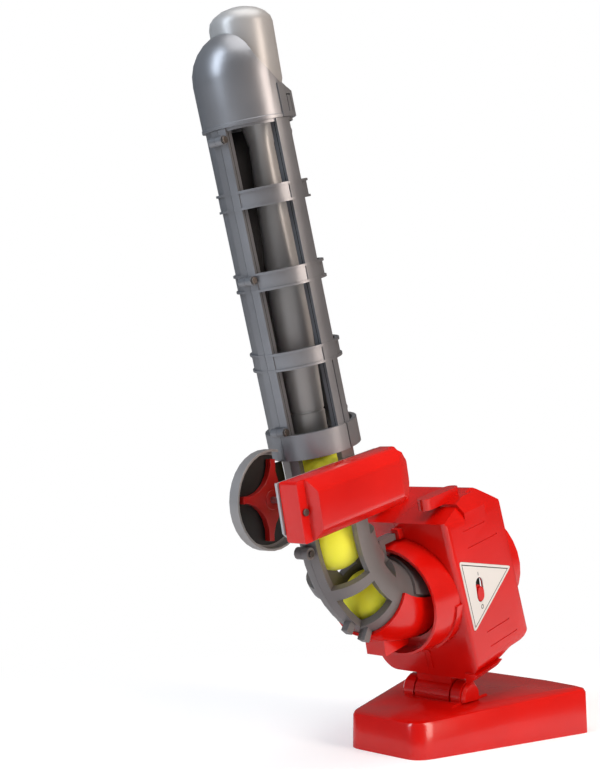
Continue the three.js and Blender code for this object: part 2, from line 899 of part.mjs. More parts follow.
function makeKnuckle() {
  const barrel = rod('y', headPivot, tilt.barrelRadius, -tilt.barrelHalfLength, tilt.barrelHalfLength,
    middleSides);
  const neck = block([-tilt.neckRearLength, -tilt.barrelHalfLength, 0],
    [tilt.neckFrontLength, tilt.barrelHalfLength, housing.bottomZ - fitGap]);
  const ridges = ridgeDegrees.map((degrees) => {
    const [x, z] = pointAt(tilt.barrelRadius, degrees);
    return rod('y', { x, z }, tilt.ridgeHeight, -tilt.barrelHalfLength, tilt.barrelHalfLength, smallSides);
  });
  const bore = rod('y', headPivot, pinBore, -wholeReach, wholeReach, smallSides);
  return joined([barrel, neck, ...ridges]).subtract(bore);
}

function scaledOutline(shares, originX, width, originZ, height) {
  return shares.map(([across, up]) => [originX + across * width, originZ + up * height]);
}

// The line of the housing's rear or front face at a height
function leaningX(footX, z) {
  return footX - housing.leanShare * z;
}

// The leaning block between the rear and front faces, moved outwards by a distance
function leaningBlock(grow) {
  const rear = housing.footRearX - grow;
  const front = housing.footRearX + housingLength + grow;
  const side = housing.halfWidth + grow;
  const outline = [[rear, -side], [front, -side], [front, side], [rear, side]];
  const shape = roundedShape(outline, Math.max(housing.cornerRound + grow, 0));
  const geometry = new THREE.ExtrudeGeometry(shape, {
    depth: housing.bottomZ + 2 * housingHeight, bevelEnabled: false, curveSegments: cornerSteps });
  geometry.translate(0, 0, -housingHeight / 2);
  geometry.applyMatrix4(new THREE.Matrix4().makeShear(0, 0, 0, 0, -housing.leanShare, 0));
  return solidFrom(geometry);
}

function housingForm(inset) {
  const side = insetOutline(scaledOutline(
    housingSideShares, housing.footRearX, housingLength, housing.bottomZ, housingHeight), inset);
  const right = scaledOutline(
    housingSectionShares, 0, housing.halfWidth, housing.bottomZ, housingHeight);
  const left = right.map(([y, z]) => [-y, z]).reverse();
  const section = insetOutline([...right, ...left], inset);
  return leaningBlock(-inset)
    .intersect(prism('y', roundedShape(side, housing.cornerRound), -housing.halfWidth, housing.halfWidth))
    .intersect(prism('x', roundedShape(section, housing.cornerRound), -wholeReach, wholeReach));
}

const sleeveInner = wheel.motorRadius + fitGap;
const wheelPlaces = {
  upper: { x: wheelX, z: ballWayZ + wheel.nip / 2 + wheel.radius },
  lower: { x: wheelX, z: ballWayZ - wheel.nip / 2 - wheel.radius },
};

// The humps on the housing's top, one on each half
function makeHump() {
  const topZ = housing.bottomZ + housingHeight + housing.humpRise;
  const centre = [housing.humpRearX + housing.humpLength / 2, housing.humpY];
  return prism('z', stadium(centre, housing.humpLength, housing.humpWidth, false),
    topZ - 3 * housing.humpRise, topZ);
}

function housingFrontX(z) {
  return leaningX(housing.footRearX + housingLength, z);
}

function housingPlace([along, across, up]) {
  return [housing.footRearX + along * housingLength, across * housing.halfWidth,
    housing.bottomZ + up * housingHeight];
}

function frontScrewPlaces() {
  return Object.entries(frontScrewShares).map(([name, [across, up]]) => {
    const [, y, z] = housingPlace([0, across, up]);
    return { name, y, z };
  });
}

function makeHousingHalf(side) {
  const pads = side > 0 ? [] : housingPads.map(({ rise, lowShares, highShares }) => mirrored(
    housingForm(-rise).intersect(block(housingPlace(lowShares), housingPlace(highShares))), side));
  const wall = housing.halfWidth - housing.wall / 2;
  const skin = joined([housingForm(0), makeHump(), ...pads]);
  const shell = halfOf(without(skin, [housingForm(housing.wall)]), 1, chute.seam);
  const supports = Object.values(wheelPlaces).flatMap((at) => {
    if (side > 0) {
      return [rod('y', at, sleeveInner + wheel.sleeveWall, wall - wheel.sleeveLength, wall, middleSides)
        .subtract(rod('y', at, sleeveInner, 0, wall - housing.wall, middleSides))];
    }
    return [rod('y', at, wheel.bearingRadius, wheel.width / 2 + 2 * fitGap, wall, smallSides)
      .subtract(rod('y', at, wheel.shaftRadius + fitGap, 0, wall - housing.wall, smallSides))];
  });
  const screws = frontScrewPlaces().filter(({ y }) => y * side > 0)
    .map(({ y, z }) => ({ x: housingFrontX(z), y: Math.abs(y), z }));
  const bosses = screws.map(({ x, y, z }) => rod('x', { y, z }, housing.bossRadius,
    x - screw.recess - screw.length - 2 * fitGap, x, smallSides).intersect(housingForm(0)));
  const bores = screws.flatMap(({ x, y, z }) => [
    rod('x', { y, z }, screw.headRadius + fitGap, x - screw.recess - fitGap, x + cutOverrun, smallSides),
    rod('x', { y, z }, screw.shankRadius + fitGap, x - screw.recess - screw.length - fitGap, x, smallSides),
  ]);
  const grooves = housingGrooveShares.map(([up, start, end]) => {
    const z = housing.bottomZ + up * housingHeight;
    return block(
      [housing.footRearX + start * housingLength, housing.halfWidth - housing.grooveDepth,
        z - housing.grooveWidth / 2],
      [housing.footRearX + end * housingLength, housing.halfWidth + cutOverrun,
        z + housing.grooveWidth / 2]);
  });
  const guideHole = rod('x', ballLine, ballWay.guideRadius + ballWay.guideWall + fitGap,
    -wholeReach, wheelX, fineSides);
  const spigotHole = rod('x', ballLine, muzzle.boreRadius + muzzle.spigotWall + fitGap,
    wheelX, wholeReach, fineSides);
  const half = without(joined([shell, ...supports, ...bosses]),
    [guideHole, spigotHole, ...grooves, ...bores]);
  const placed = mirrored(half, side);
  return side > 0 ? placed : without(placed, [
    prism('y', badgeShape(fitGap), -housing.halfWidth - cutOverrun, badge.recess - housing.halfWidth),
    prism('y', switchSlot(), -housing.halfWidth - cutOverrun, cutOverrun - housing.halfWidth + housing.wall),
  ]);
}

// The badge and the switch
function badgeShape(grow) {
  const corners = [badgeCorners.topRear, badgeCorners.bottom, badgeCorners.topFront];
  return roundedShape(insetOutline(corners, -grow), badge.cornerRound);
}

function switchSlot() {
  return stadium([badge.slotX, badge.slotZ], badge.slotLength, badge.slotWidth, true);
}

function makeSideBadge() {
  const outerY = -housing.halfWidth - badge.proud;
  const innerY = badge.recess - fitGap - housing.halfWidth;
  return prism('y', badgeShape(0), outerY, innerY)
    .subtract(prism('y', switchSlot(), outerY - cutOverrun, innerY + cutOverrun));
}

const wallInnerY = housing.wall - housing.halfWidth;
const sliderZ = badge.slotZ - slider.travel / 2;

function makeSwitchSlider() {
  const centre = [badge.slotX, sliderZ];
  const knobWidth = badge.slotWidth - 2 * slider.sideGap;
  const knob = prism('y', stadium(centre, slider.length, knobWidth, true),
    -housing.halfWidth - badge.proud - slider.knobRise, wallInnerY + fitGap + slider.flangeThickness);
  const flange = prism('y', stadium(centre, slider.length + 2 * slider.flangeMargin,
    badge.slotWidth + slider.flangeMargin, true), wallInnerY + fitGap,
  wallInnerY + fitGap + slider.flangeThickness);
  return joined([knob, flange]);
}

function makeSwitchBody() {
  const nearY = wallInnerY + slider.flangeThickness + 2 * fitGap;
  const low = [badge.slotX - switchBody.width / 2, nearY, badge.slotZ - switchBody.length / 2];
  const high = [badge.slotX + switchBody.width / 2, nearY + switchBody.depth,
    badge.slotZ + switchBody.length / 2];
  const body = block(low, high);
  const lowFoot = block([low[0], wallInnerY + fitGap, low[2]],
    [high[0], high[1], low[2] + switchBody.footLength]);
  const highFoot = block([low[0], wallInnerY + fitGap, high[2] - switchBody.footLength], high);
  return joined([body, lowFoot, highFoot]);
}

function makeMuzzleRing() {
  const spigotOuter = muzzle.boreRadius + muzzle.spigotWall;
  const rimDepth = muzzle.lipOut - muzzle.baseOut;
  const baseX = housingFrontAtBall + muzzle.baseOut;
  const lipX = housingFrontAtBall + muzzle.lipOut;
  const boreX = housingFrontAtBall + muzzle.boreOut;
  const spigotX = housingFrontAtBall - muzzle.spigotIn;
  const collar = turned('x', ballLine, [
    [muzzle.boreRadius, boreX],
    [muzzle.boreRadius + muzzle.wall, boreX - rimDepth],
    [muzzle.radius - muzzle.wall, baseX - rimDepth],
    [muzzle.radius - muzzle.wall, spigotX],
    [muzzle.radius, spigotX],
    [muzzle.radius, baseX],
    [muzzle.lipRadius, lipX],
    [muzzle.mouthRadius, lipX],
  ], fineSides);
  const spigot = turned('x', ballLine, [
    [muzzle.boreRadius, spigotX], [spigotOuter, spigotX], [spigotOuter, boreX], [muzzle.boreRadius, boreX],
  ], fineSides);
  return joined([collar.subtract(leaningBlock(fitGap)), spigot]);
}

// The inlet: the stepped collar at the rear, and the cup that holds the chute's end
function makeInletRing() {
  const innerWall = inlet.floorRadius + inlet.rimWall;
  const floorX = housingRearAtBall - inlet.floorOut;
  const rimX = housingRearAtBall - inlet.rimOut;
  const bandX = housingRearAtBall - inlet.bandOut;
  const floorBack = floorX + inlet.floorThickness;
  const ring = turned('x', ballLine, [
    [inlet.floorRadius, floorX], [inlet.boreRadius, floorX], [inlet.boreRadius, rimX],
    [inlet.rimRadius, rimX], [inlet.radius, bandX], [inlet.radius, 0],
    [inlet.radius - inlet.rimWall, 0], [inlet.radius - inlet.rimWall, floorBack],
    [innerWall, floorBack], [innerWall, 0], [inlet.floorRadius, 0],
  ], fineSides);
  const pad = inletBand(bandX, inlet.padRise, 180 - inlet.padHighDegrees, 180 - inlet.padLowDegrees);
  const lug = inletBand(bandX, inlet.lugRise, inlet.lugDegrees - inlet.lugHalfDegrees,
    inlet.lugDegrees + inlet.lugHalfDegrees);
  return without(joined([ring, pad, lug]), [leaningBlock(fitGap)]);
}

// A raised band on the collar, over the angles seen from the front
function inletBand(rearX, rise, from, to) {
  const shape = sectorShape(inlet.radius - inlet.rimWall / 2, inlet.radius + rise, from, to);
  return prism('x', shape, rearX, 0).translate([0, 0, ballWayZ]);
}

// The chute's line goes straight down the magazine's axis and then round a bend to level. A station
// is a place on that line with the direction to the outside of the bend.
const bendCentre = { x: chute.exitX, z: ballWayZ + chute.bendRadius };
const bendStart = 180 + magazine.leanDegrees;
const levelDegrees = 270;
const magazineFootX = bendCentre.x + chute.bendRadius * pointAt(1, bendStart)[0]
  - (magazine.footZ - bendCentre.z - chute.bendRadius * pointAt(1, bendStart)[1])
  * Math.tan(THREE.MathUtils.degToRad(magazine.leanDegrees));

function stationAt(degrees, rise = 0) {
  const [outX, outZ] = pointAt(1, degrees);
  return {
    x: bendCentre.x + chute.bendRadius * outX + rise * outZ,
    z: bendCentre.z + chute.bendRadius * outZ - rise * outX,
    outX,
    outZ,
  };
}

function bendStations(from, to) {
  const steps = Math.ceil((to - from) / chute.stepDegrees);
  return Array.from({ length: steps + 1 }, (_, step) => stationAt(from + (to - from) * step / steps));
}

// The rise over the bend's start of a height w over the magazine's foot
function riseOf(w) {
  const start = stationAt(bendStart);
  return w + Math.hypot(magazineFootX - start.x, magazine.footZ - start.z);
}

// A solid whose section runs along the chute. The section's x points right and its y outwards.
function swept(shape, stations, steps = cornerSteps) {
  const geometry = loftGeometry(stations.map((station, level) => layerOf(shape, level, steps)));
  const positions = geometry.attributes.position;
  for (let index = 0; index < positions.count; index += 1) {
    const station = stations[Math.round(positions.getZ(index))];
    const out = positions.getY(index);
    positions.setXYZ(index, station.x + out * station.outX, -positions.getX(index),
      station.z + out * station.outZ);
  }
  return solidFrom(geometry);
}

// The chute's full round section, filled, for cutting other pieces
function chuteCore(radius, stations) {
  const points = Array.from({ length: fineSides }, (_, side) => pointAt(radius, 360 * side / fineSides));
  return swept(shapeOf(points), stations);
}

function makeInletCup() {
  const inner = chute.outer + cup.gap;
  const stations = bendStations(cup.startDegrees, chute.mouthDegrees);
  const shape = sectorShape(inner, inner + cup.wall, -cup.edgeDegrees, 180 + cup.edgeDegrees);
  const scoop = swept(shape, stations, chute.pipeSteps);
  const lug = block([cup.lugRearX, -cup.lugHalfWidth, cup.lugBottomZ],
    [cup.lugFrontX, cup.lugHalfWidth, cup.lugTopZ]);
  return joined([scoop, lug.subtract(chuteCore(inner, bendStations(bendStart, levelDegrees)))]);
}

// One half of the chute. It is drawn for the right side, where section angles run from the inside of
// the bend at -90 to the outside at 90. Everything between the rails, the rung and the pipe is cut out.
function makeElbow(side) {
  const overlap = 1;
  const top = stationAt(bendStart, riseOf(chute.topW));
  const ringFoot = stationAt(bendStart, riseOf(chute.topW - chute.topRing));
  const bend = bendStations(bendStart, chute.mouthDegrees);
  const tube = swept(sectorShape(chute.inner, chute.outer, -90 - overlap, 90 + overlap), [top, ...bend],
    chute.pipeSteps);
  const thick = swept(
    sectorShape(chute.outer - overlap, chute.thickRadius, -90 - overlap, -chute.thickEdgeDegrees),
    bendStations(chute.thickDegrees, chute.mouthDegrees), cornerSteps);
  const opening = (low, high, stations) => swept(
    sectorShape(chute.inner - cutOverrun, chute.outer + cutOverrun, low, high), stations, railSteps);
  const outsideLow = chute.railHalfDegrees;
  const outsideHigh = 90 - chute.outerRailHalfDegrees;
  const openings = [
    opening(chute.railHalfDegrees - 90, -chute.railHalfDegrees, [ringFoot, stationAt(bendStart)]),
    opening(outsideLow, outsideHigh,
      [ringFoot, ...bendStations(bendStart, chute.rungDegrees - chute.rungHalfDegrees)]),
    opening(outsideLow, outsideHigh,
      bendStations(chute.rungDegrees + chute.rungHalfDegrees, chute.pipeDegrees)),
    ...chuteWindows.map(({ from, to, low, high }) => opening(low, high, bendStations(from, to))),
  ];
  const boss = rod('y', elbowBossAt(), chute.bossRadius, -chute.bossHalfLength, chute.bossHalfLength,
    smallSides);
  const hook = joined([
    block([chuteHook.rearX, -chuteHook.halfWidth, chuteHook.footZ],
      [chuteHook.riserFrontX, chuteHook.halfWidth, chuteHook.highZ]),
    block([chuteHook.rearX, -chuteHook.halfWidth, chuteHook.lowZ],
      [chuteHook.frontX, chuteHook.halfWidth, chuteHook.highZ]),
  ]);
  const clear = chuteCore(chute.inner + overlap, bend);
  const tabs = side > 0 ? [] : chuteTabs.map(({ from, to, near, far }) => swept(shapeOf([
    [near, chute.outer - chute.tabDepth], [far, chute.outer - chute.tabDepth],
    [far, chute.outer + chute.tabRise], [near, chute.outer + chute.tabRise],
  ]), bendStations(from, to)));
  const outside = joined([boss, hook, ...tabs]).subtract(clear);
  const body = joined([without(tube, openings), thick, outside]);
  const bored = body.subtract(rod('y', elbowBossAt(), screw.shankRadius + fitGap, -wholeReach, wholeReach,
    smallSides));
  const half = mirrored(halfOf(bored, -1, chute.seam), -side);
  return side > 0 ? without(half, [block(chuteSlot.low, chuteSlot.high)]) : half;
}

// The screw boss at the top of the bend, on its outside
function elbowBossAt() {
  const at = stationAt(chute.bossDegrees);
  const reach = chute.outer + chute.bossRise;
  return { x: at.x + reach * at.outX, z: at.z + reach * at.outZ };
}

function makeElbowScrew() {
  return makeScrew('y', elbowBossAt(), -chute.bossHalfLength - fitGap - screw.headHeight, 1, screw);
}

// The feeder
const starAt = { x: feeder.starX, z: feeder.starZ };
const boxNearY = feeder.plateY - feeder.plateThickness - fitGap;
const boxFarY = boxNearY - feeder.boxDepth;
const flangeFarY = boxNearY - feeder.flangeDepth;
const wheelRadius = gears.module * gears.wheelTeeth / 2;
const gearGap = gears.module * (gears.starTeeth + gears.pinionTeeth) / 2 + gears.meshGap;
const wormGearAt = {
  x: feeder.starX + pointAt(gearGap, -gears.dropDegrees)[0],
  z: feeder.starZ + pointAt(gearGap, -gears.dropDegrees)[1],
};
const wormMiddle = (worm.radius + worm.rootRadius) / 2;
const wormAt = { y: feeder.wheelY, z: wormGearAt.z + wheelRadius + wormMiddle + worm.meshGap };
const wormHalfLength = worm.lead * worm.turns / 2;

function makeFeederCasing() {
  const inner = feeder.dishRadius - feeder.dishWall;
  const dish = without(
    rod('y', starAt, feeder.dishRadius, feeder.dishNearY, feeder.dishFarY, fineSides), [
      rod('y', starAt, inner, feeder.dishNearY - cutOverrun, feeder.dishFarY - feeder.dishWall, fineSides),
      rod('y', starAt, feeder.shaftRadius + fitGap, 0, wholeReach, smallSides),
    ]);
  const top = stationAt(bendStart, riseOf(magazine.collarTop));
  return without(dish, [
    chuteCore(chute.outer + fitGap, [top, ...bendStations(bendStart, levelDegrees)]),
    block([feeder.notchX, -wholeReach, feeder.notchZ], [wholeReach, wholeReach, wholeReach]),
  ]);
}

function makeStarWheel() {
  const halfThickness = feeder.starThickness / 2;
  const disc = rod('y', starAt, feeder.starRadius, feeder.starY - halfThickness,
    feeder.starY + halfThickness, fineSides);
  const flanks = [45, 135, 225, 315].map((degrees) => {
    const [x, z] = pointAt(feeder.starFlankOffset, feeder.starDegrees + degrees);
    return rod('y', { x: starAt.x + x, z: starAt.z + z }, feeder.starFlankRadius, -wholeReach, wholeReach,
      middleSides);
  });
  const hub = rod('y', starAt, feeder.starHubRadius, feeder.starY - feeder.starHubLength / 2,
    feeder.starY + feeder.starHubLength / 2, middleSides);
  const bore = rod('y', starAt, feeder.shaftRadius + fitGap, -wholeReach, wholeReach, smallSides);
  return joined([without(disc, flanks), hub]).subtract(bore);
}

function makeFeederPlate() {
  const cut = feeder.plateCornerCut;
  const outline = [
    [feeder.plateRearX + cut, feeder.plateBottomZ], [feeder.plateFrontX - cut, feeder.plateBottomZ],
    [feeder.plateFrontX, feeder.plateBottomZ + cut], [feeder.plateFrontX, feeder.plateTopZ - cut],
    [feeder.plateFrontX - cut, feeder.plateTopZ],
    [feeder.plateRearX, feeder.plateTopZ], [feeder.plateRearX, feeder.plateBottomZ + cut],
  ];
  const holes = [
    [starAt, feeder.shaftRadius],
    [wormGearAt, gears.axleRadius],
    [{ x: feeder.screwX, z: feeder.screwZ }, screw.shankRadius],
  ].map(([at, radius]) => rod('y', at, radius + fitGap, -wholeReach, wholeReach, smallSides));
  return without(
    prism('y', shapeOf(outline), feeder.plateY - feeder.plateThickness, feeder.plateY), holes);
}

// The gearbox's outer form, or its cavity when moved inwards. The plate's side stays open.
function boxForm(inset) {
  const nearY = boxNearY + 2 * inset;
  const flangeX = feeder.boxRearX + feeder.flangeLength;
  const bodyFrontX = feeder.boxFrontX - feeder.rimLength;
  const rimY = boxNearY - feeder.rimDepth;
  const plan = insetOutline([
    [feeder.boxRearX, nearY], [feeder.boxRearX, flangeFarY], [flangeX, flangeFarY],
    [flangeX + feeder.slopeLength, boxFarY], [bodyFrontX - feeder.endSlope, boxFarY],
    [bodyFrontX, boxFarY + feeder.endDepth], [bodyFrontX, rimY], [feeder.boxFrontX, rimY],
    [feeder.boxFrontX, nearY],
  ], inset);
  const section = insetOutline([
    [nearY, feeder.boxBottomZ], [nearY, feeder.boxTopZ],
    [boxFarY + feeder.boxEdge, feeder.boxTopZ], [boxFarY, feeder.boxTopZ - feeder.boxEdge],
    [boxFarY, feeder.boxBottomZ + feeder.boxEdge], [boxFarY + feeder.boxEdge, feeder.boxBottomZ],
  ], inset);
  return prism('z', shapeOf(plan), 0, wholeReach)
    .intersect(prism('x', roundedShape(section, feeder.boxRound), -wholeReach, wholeReach))
    .intersect(joined([
      boxSide(feeder.boxFrontX, rimY, 0, inset),
      boxSide(bodyFrontX, -wholeReach, rimY, inset),
    ]));
}

// The box's outline from the side, with cut front corners, over a depth
function boxSide(frontX, farY, nearY, inset) {
  const side = insetOutline([
    [feeder.boxRearX, feeder.boxBottomZ], [frontX - feeder.boxCorner, feeder.boxBottomZ],
    [frontX, feeder.boxBottomZ + feeder.boxCorner], [frontX, feeder.boxTopZ - feeder.boxCorner],
    [frontX - feeder.boxCorner, feeder.boxTopZ], [feeder.boxRearX, feeder.boxTopZ],
  ], inset);
  return prism('y', roundedShape(side, feeder.boxRound), farY, nearY);
}

function makeFeederBox() {
  const deep = boxFarY + feeder.boxWall / 2;
  const screwAt = { x: feeder.screwX, z: feeder.screwZ };
  const motorAt = { y: feeder.wheelY, z: wormAt.z };
  const cradles = [
    feeder.motorRearX + feeder.cradleInset,
    feeder.motorFrontX - feeder.cradleInset - feeder.cradleThickness,
  ].map((x) => block([x, deep, feeder.boxBottomZ + feeder.boxEdge],
    [x + feeder.cradleThickness, feeder.wheelY, feeder.boxTopZ - feeder.boxWall / 2]).subtract(
    rod('x', motorAt, feeder.motorRadius + fitGap, -wholeReach, wholeReach, middleSides))
    .intersect(boxForm(feeder.boxWall / 2)));
  const posts = [
    rod('y', screwAt, feeder.bossRadius, flangeFarY + feeder.boxWall / 2, boxNearY, smallSides),
    rod('y', wormGearAt, feeder.axleBossRadius, deep, feeder.axleBossY, smallSides),
    rod('y', starAt, feeder.shaftBossRadius, deep, feeder.shaftBossY, smallSides),
  ];
  const bores = [
    rod('y', screwAt, screw.shankRadius + fitGap, flangeFarY - cutOverrun, 0, smallSides),
    rod('y', wormGearAt, gears.axleRadius + fitGap, boxFarY + feeder.boxWall, 0, smallSides),
    rod('y', starAt, feeder.shaftRadius + fitGap, boxFarY + feeder.boxWall, 0, smallSides),
  ];
  const shell = without(boxForm(0), [boxForm(feeder.boxWall)]);
  return without(joined([shell, ...cradles, ...posts]), bores);
}

// A spur gear with straight-flanked teeth, one of them at the given angle
function spurGear(at, teeth, toothDegrees, middleY) {
  const pitch = 360 / teeth;
  const pitchRadius = gears.module * teeth / 2;
  const root = pitchRadius - gears.dedendumShare * gears.module;
  const tip = pitchRadius + gears.addendumShare * gears.module;
  const points = [];
  for (let tooth = 0; tooth < teeth; tooth += 1) {
    const middle = toothDegrees + pitch * tooth;
    points.push(
      pointAt(root, middle - gears.rootHalfShare * pitch), pointAt(tip, middle - gears.tipHalfShare * pitch),
      pointAt(tip, middle + gears.tipHalfShare * pitch), pointAt(root, middle + gears.rootHalfShare * pitch));
  }
  const placed = points.map(([x, z]) => [at.x + x, at.z + z]);
  return prism('y', shapeOf(placed), middleY - gears.faceWidth / 2, middleY + gears.faceWidth / 2);
}

function makeStarGear() {
  return spurGear(starAt, gears.starTeeth, -gears.dropDegrees, feeder.gearY)
    .subtract(rod('y', starAt, feeder.shaftRadius + fitGap, -wholeReach, wholeReach, smallSides));
}

// The pinion, the worm's wheel and their axle in one piece
function makeWormGear() {
  const gapDegrees = 180 - gears.dropDegrees;
  const halfPitch = 180 / gears.pinionTeeth;
  return joined([
    spurGear(wormGearAt, gears.pinionTeeth, gapDegrees + halfPitch, feeder.gearY),
    spurGear(wormGearAt, gears.wheelTeeth, 90, feeder.wheelY),
    rod('y', wormGearAt, gears.axleRadius, boxFarY + feeder.boxWall + fitGap, feeder.plateY, smallSides),
  ]);
}

// The worm's radius at an angle and a place along it. A valley faces the wheel's top tooth.
function wormRadiusAt(degrees, along) {
  const turns = along / worm.lead - degrees / 360;
  const share = Math.abs(turns - Math.round(turns));
  const climb = (share - worm.valleyShare) / (worm.crestShare - worm.valleyShare);
  return THREE.MathUtils.lerp(worm.rootRadius, worm.radius, THREE.MathUtils.clamp(climb, 0, 1));
}

function makeWorm() {
  const steps = worm.turns * worm.stepsPerTurn;
  const layers = Array.from({ length: steps + 1 }, (_, step) => {
    const along = (step / steps - 1 / 2) * 2 * wormHalfLength;
    const points = Array.from({ length: smallSides }, (_, side) => {
      const degrees = 360 * side / smallSides;
      return pointAt(wormRadiusAt(degrees, along), degrees);
    });
    return points.map(([x, y]) => new THREE.Vector3(x, y, along));
  });
  const bore = rod('z', {}, feeder.motorShaftRadius + fitGap, -wholeReach, wholeReach, smallSides);
  return lofted(layers).subtract(bore).rotate([0, 90, 0]).translate([wormGearAt.x, wormAt.y, wormAt.z]);
}

function makeFeederMotor() {
  const can = rod('x', wormAt, feeder.motorRadius, feeder.motorRearX, feeder.motorFrontX, middleSides);
  const shaft = rod('x', wormAt, feeder.motorShaftRadius, wormGearAt.x - wormHalfLength,
    feeder.motorRearX + feeder.cradleThickness, smallSides);
  return joined([can, shaft]);
}

// The pitching wheels, drawn about their own places
function makeWheelHub(at) {
  const rim = wheel.radius - wheel.tyreDepth;
  const half = wheel.width / 2;
  const web = wheel.webThickness / 2;
  const rimInner = rim - wheel.rimWall;
  return turned('y', at, [
    [wheel.shaftRadius + fitGap, -half], [wheel.hubRadius, -half], [wheel.hubRadius, -web],
    [rimInner, -web], [rimInner, -half], [rim, -half], [rim, half], [rimInner, half], [rimInner, web],
    [wheel.hubRadius, web], [wheel.hubRadius, half], [wheel.shaftRadius + fitGap, half],
  ], middleSides);
}

function makeTyre(at) {
  const inner = wheel.radius - wheel.tyreDepth + fitGap;
  const half = wheel.width / 2;
  const shoulder = wheel.radius - wheel.crownDrop;
  return turned('y', at, [
    [inner, -half], [shoulder, -half], [wheel.radius, -half / 2], [wheel.radius, half / 2],
    [shoulder, half], [inner, half],
  ], middleSides);
}

function makeWheelShaft(at) {
  const wall = housing.halfWidth - housing.wall / 2 - housing.wall - fitGap;
  return rod('y', at, wheel.shaftRadius, -wall, wheel.motorStart + wheel.shaftInMotor, smallSides);
}

function makeWheelMotor(at) {
  const neckStart = wheel.motorStart - wheel.motorNeckLength;
  const body = turned('y', at, [
    [0, neckStart], [wheel.motorNeckRadius, neckStart], [wheel.motorNeckRadius, wheel.motorStart],
    [wheel.motorRadius, wheel.motorStart], [wheel.motorRadius, wheel.motorStart + wheel.motorLength],
    [0, wheel.motorStart + wheel.motorLength],
  ], middleSides);
  return body.subtract(rod('y', at, wheel.shaftRadius + fitGap, 0,
    wheel.motorStart + wheel.shaftInMotor + fitGap, smallSides));
}

function makeBallGuide() {
  const rearX = housingRearAtBall - ballWay.guideRearOut;
  const outer = ballWay.guideRadius + ballWay.guideWall;
  return turned('x', ballLine, [
    [ballWay.guideRadius, rearX], [outer, rearX], [outer, 0], [ballWay.guideRadius, 0],
  ], fineSides);
}

// The magazine, in its own frame. The right half has windows between its rails and rings, and the
// left half is closed.
function makeMagazineHalf(side) {
  const rails = [0, 90, 180].map((degrees) => prism('z', sectorShape(magazine.railInner,
    magazine.railOuter, degrees - magazine.railHalfDegrees, degrees + magazine.railHalfDegrees),
  chute.topW + fitGap, magazine.length, railSteps));
  const rings = Array.from({ length: magazine.ringCount }, (_, index) => {
    const foot = magazine.firstRingW + index * magazine.ringPitch;
    const head = foot + magazine.ringHeight;
    const lip = magazine.ringLipHeight;
    return turned('z', {}, [
      [magazine.ringInner, foot], [magazine.ringLip, foot], [magazine.ringLip, foot + lip],
      [magazine.ringWaist, foot + lip], [magazine.ringWaist, head - lip], [magazine.ringLip, head - lip],
      [magazine.ringLip, head], [magazine.ringInner, head],
    ], fineSides);
  });
  const collar = turned('z', {}, [
    [chute.outer + cup.gap, -magazine.collarDrop], [magazine.collarRadius, -magazine.collarDrop],
    [magazine.collarRadius, magazine.collarTop], [chute.outer + cup.gap, magazine.collarTop],
  ], fineSides);
  const spigotOuter = hood.radius - hood.wall - cup.gap;
  const spigotFoot = magazine.length - magazine.spigotDrop;
  const spigot = turned('z', {}, [
    [spigotOuter - magazine.spigotWall, spigotFoot], [spigotOuter, spigotFoot],
    [spigotOuter, magazine.length + magazine.spigotRise],
    [spigotOuter - magazine.spigotWall, magazine.length + magazine.spigotRise],
  ], fineSides);
  const bosses = Object.values(magazineBosses).flatMap((z) => [-1, 1].map((end) => rod('y',
    { x: end * magazine.bossOffset, z }, magazine.bossRadius, 0, magazine.bossHalfLength, smallSides)));
  const latch = block([0, 0, -magazine.collarDrop],
    [magazine.bossOffset + magazine.latchDepth, magazine.latchHalfWidth, magazine.collarTop / 2]);
  const clear = rod('z', {}, chute.outer + cup.gap, -wholeReach, magazine.collarTop, fineSides);
  const innerClear = rod('z', {}, magazine.ringInner, -wholeReach, wholeReach, fineSides);
  const outside = joined([...bosses.map((boss) => boss.subtract(innerClear)), latch]).subtract(clear);
  const bores = Object.values(magazineBosses).map((z) => rod('y', { x: -magazine.bossOffset, z },
    screw.shankRadius + fitGap, -wholeReach, wholeReach, smallSides));
  const groove = block([-magazine.grooveWidth / 2, magazine.railOuter - magazine.grooveDepth, -wholeReach],
    [magazine.grooveWidth / 2, magazine.railOuter + cutOverrun, magazine.firstRingW]);
  const pockets = side > 0 ? [] : Object.values(magazineBosses).map((z) => rod('y',
    { x: -magazine.bossOffset, z }, screw.headRadius + fitGap, magazine.bossHalfLength,
    magazine.bossHalfLength + screw.headHeight + 2 * fitGap, smallSides));
  const backOuter = magazine.ringInner + magazine.backWall;
  const back = side < 0 ? [] : [turned('z', {}, [
    [magazine.ringInner, magazine.collarTop / 2], [backOuter, magazine.collarTop / 2],
    [backOuter, magazine.length], [magazine.ringInner, magazine.length],
  ], fineSides)];
  const body = joined([...rails, ...rings, ...back, collar, spigot, outside]);
  return mirrored(halfOf(without(body, [...bores, ...pockets, groove]), 1, chute.seam), side);
}

function makeMagazineScrew(z) {
  return makeScrew('y', { x: -magazine.bossOffset, z },
    -magazine.bossHalfLength - fitGap - screw.headHeight, 1, screw);
}

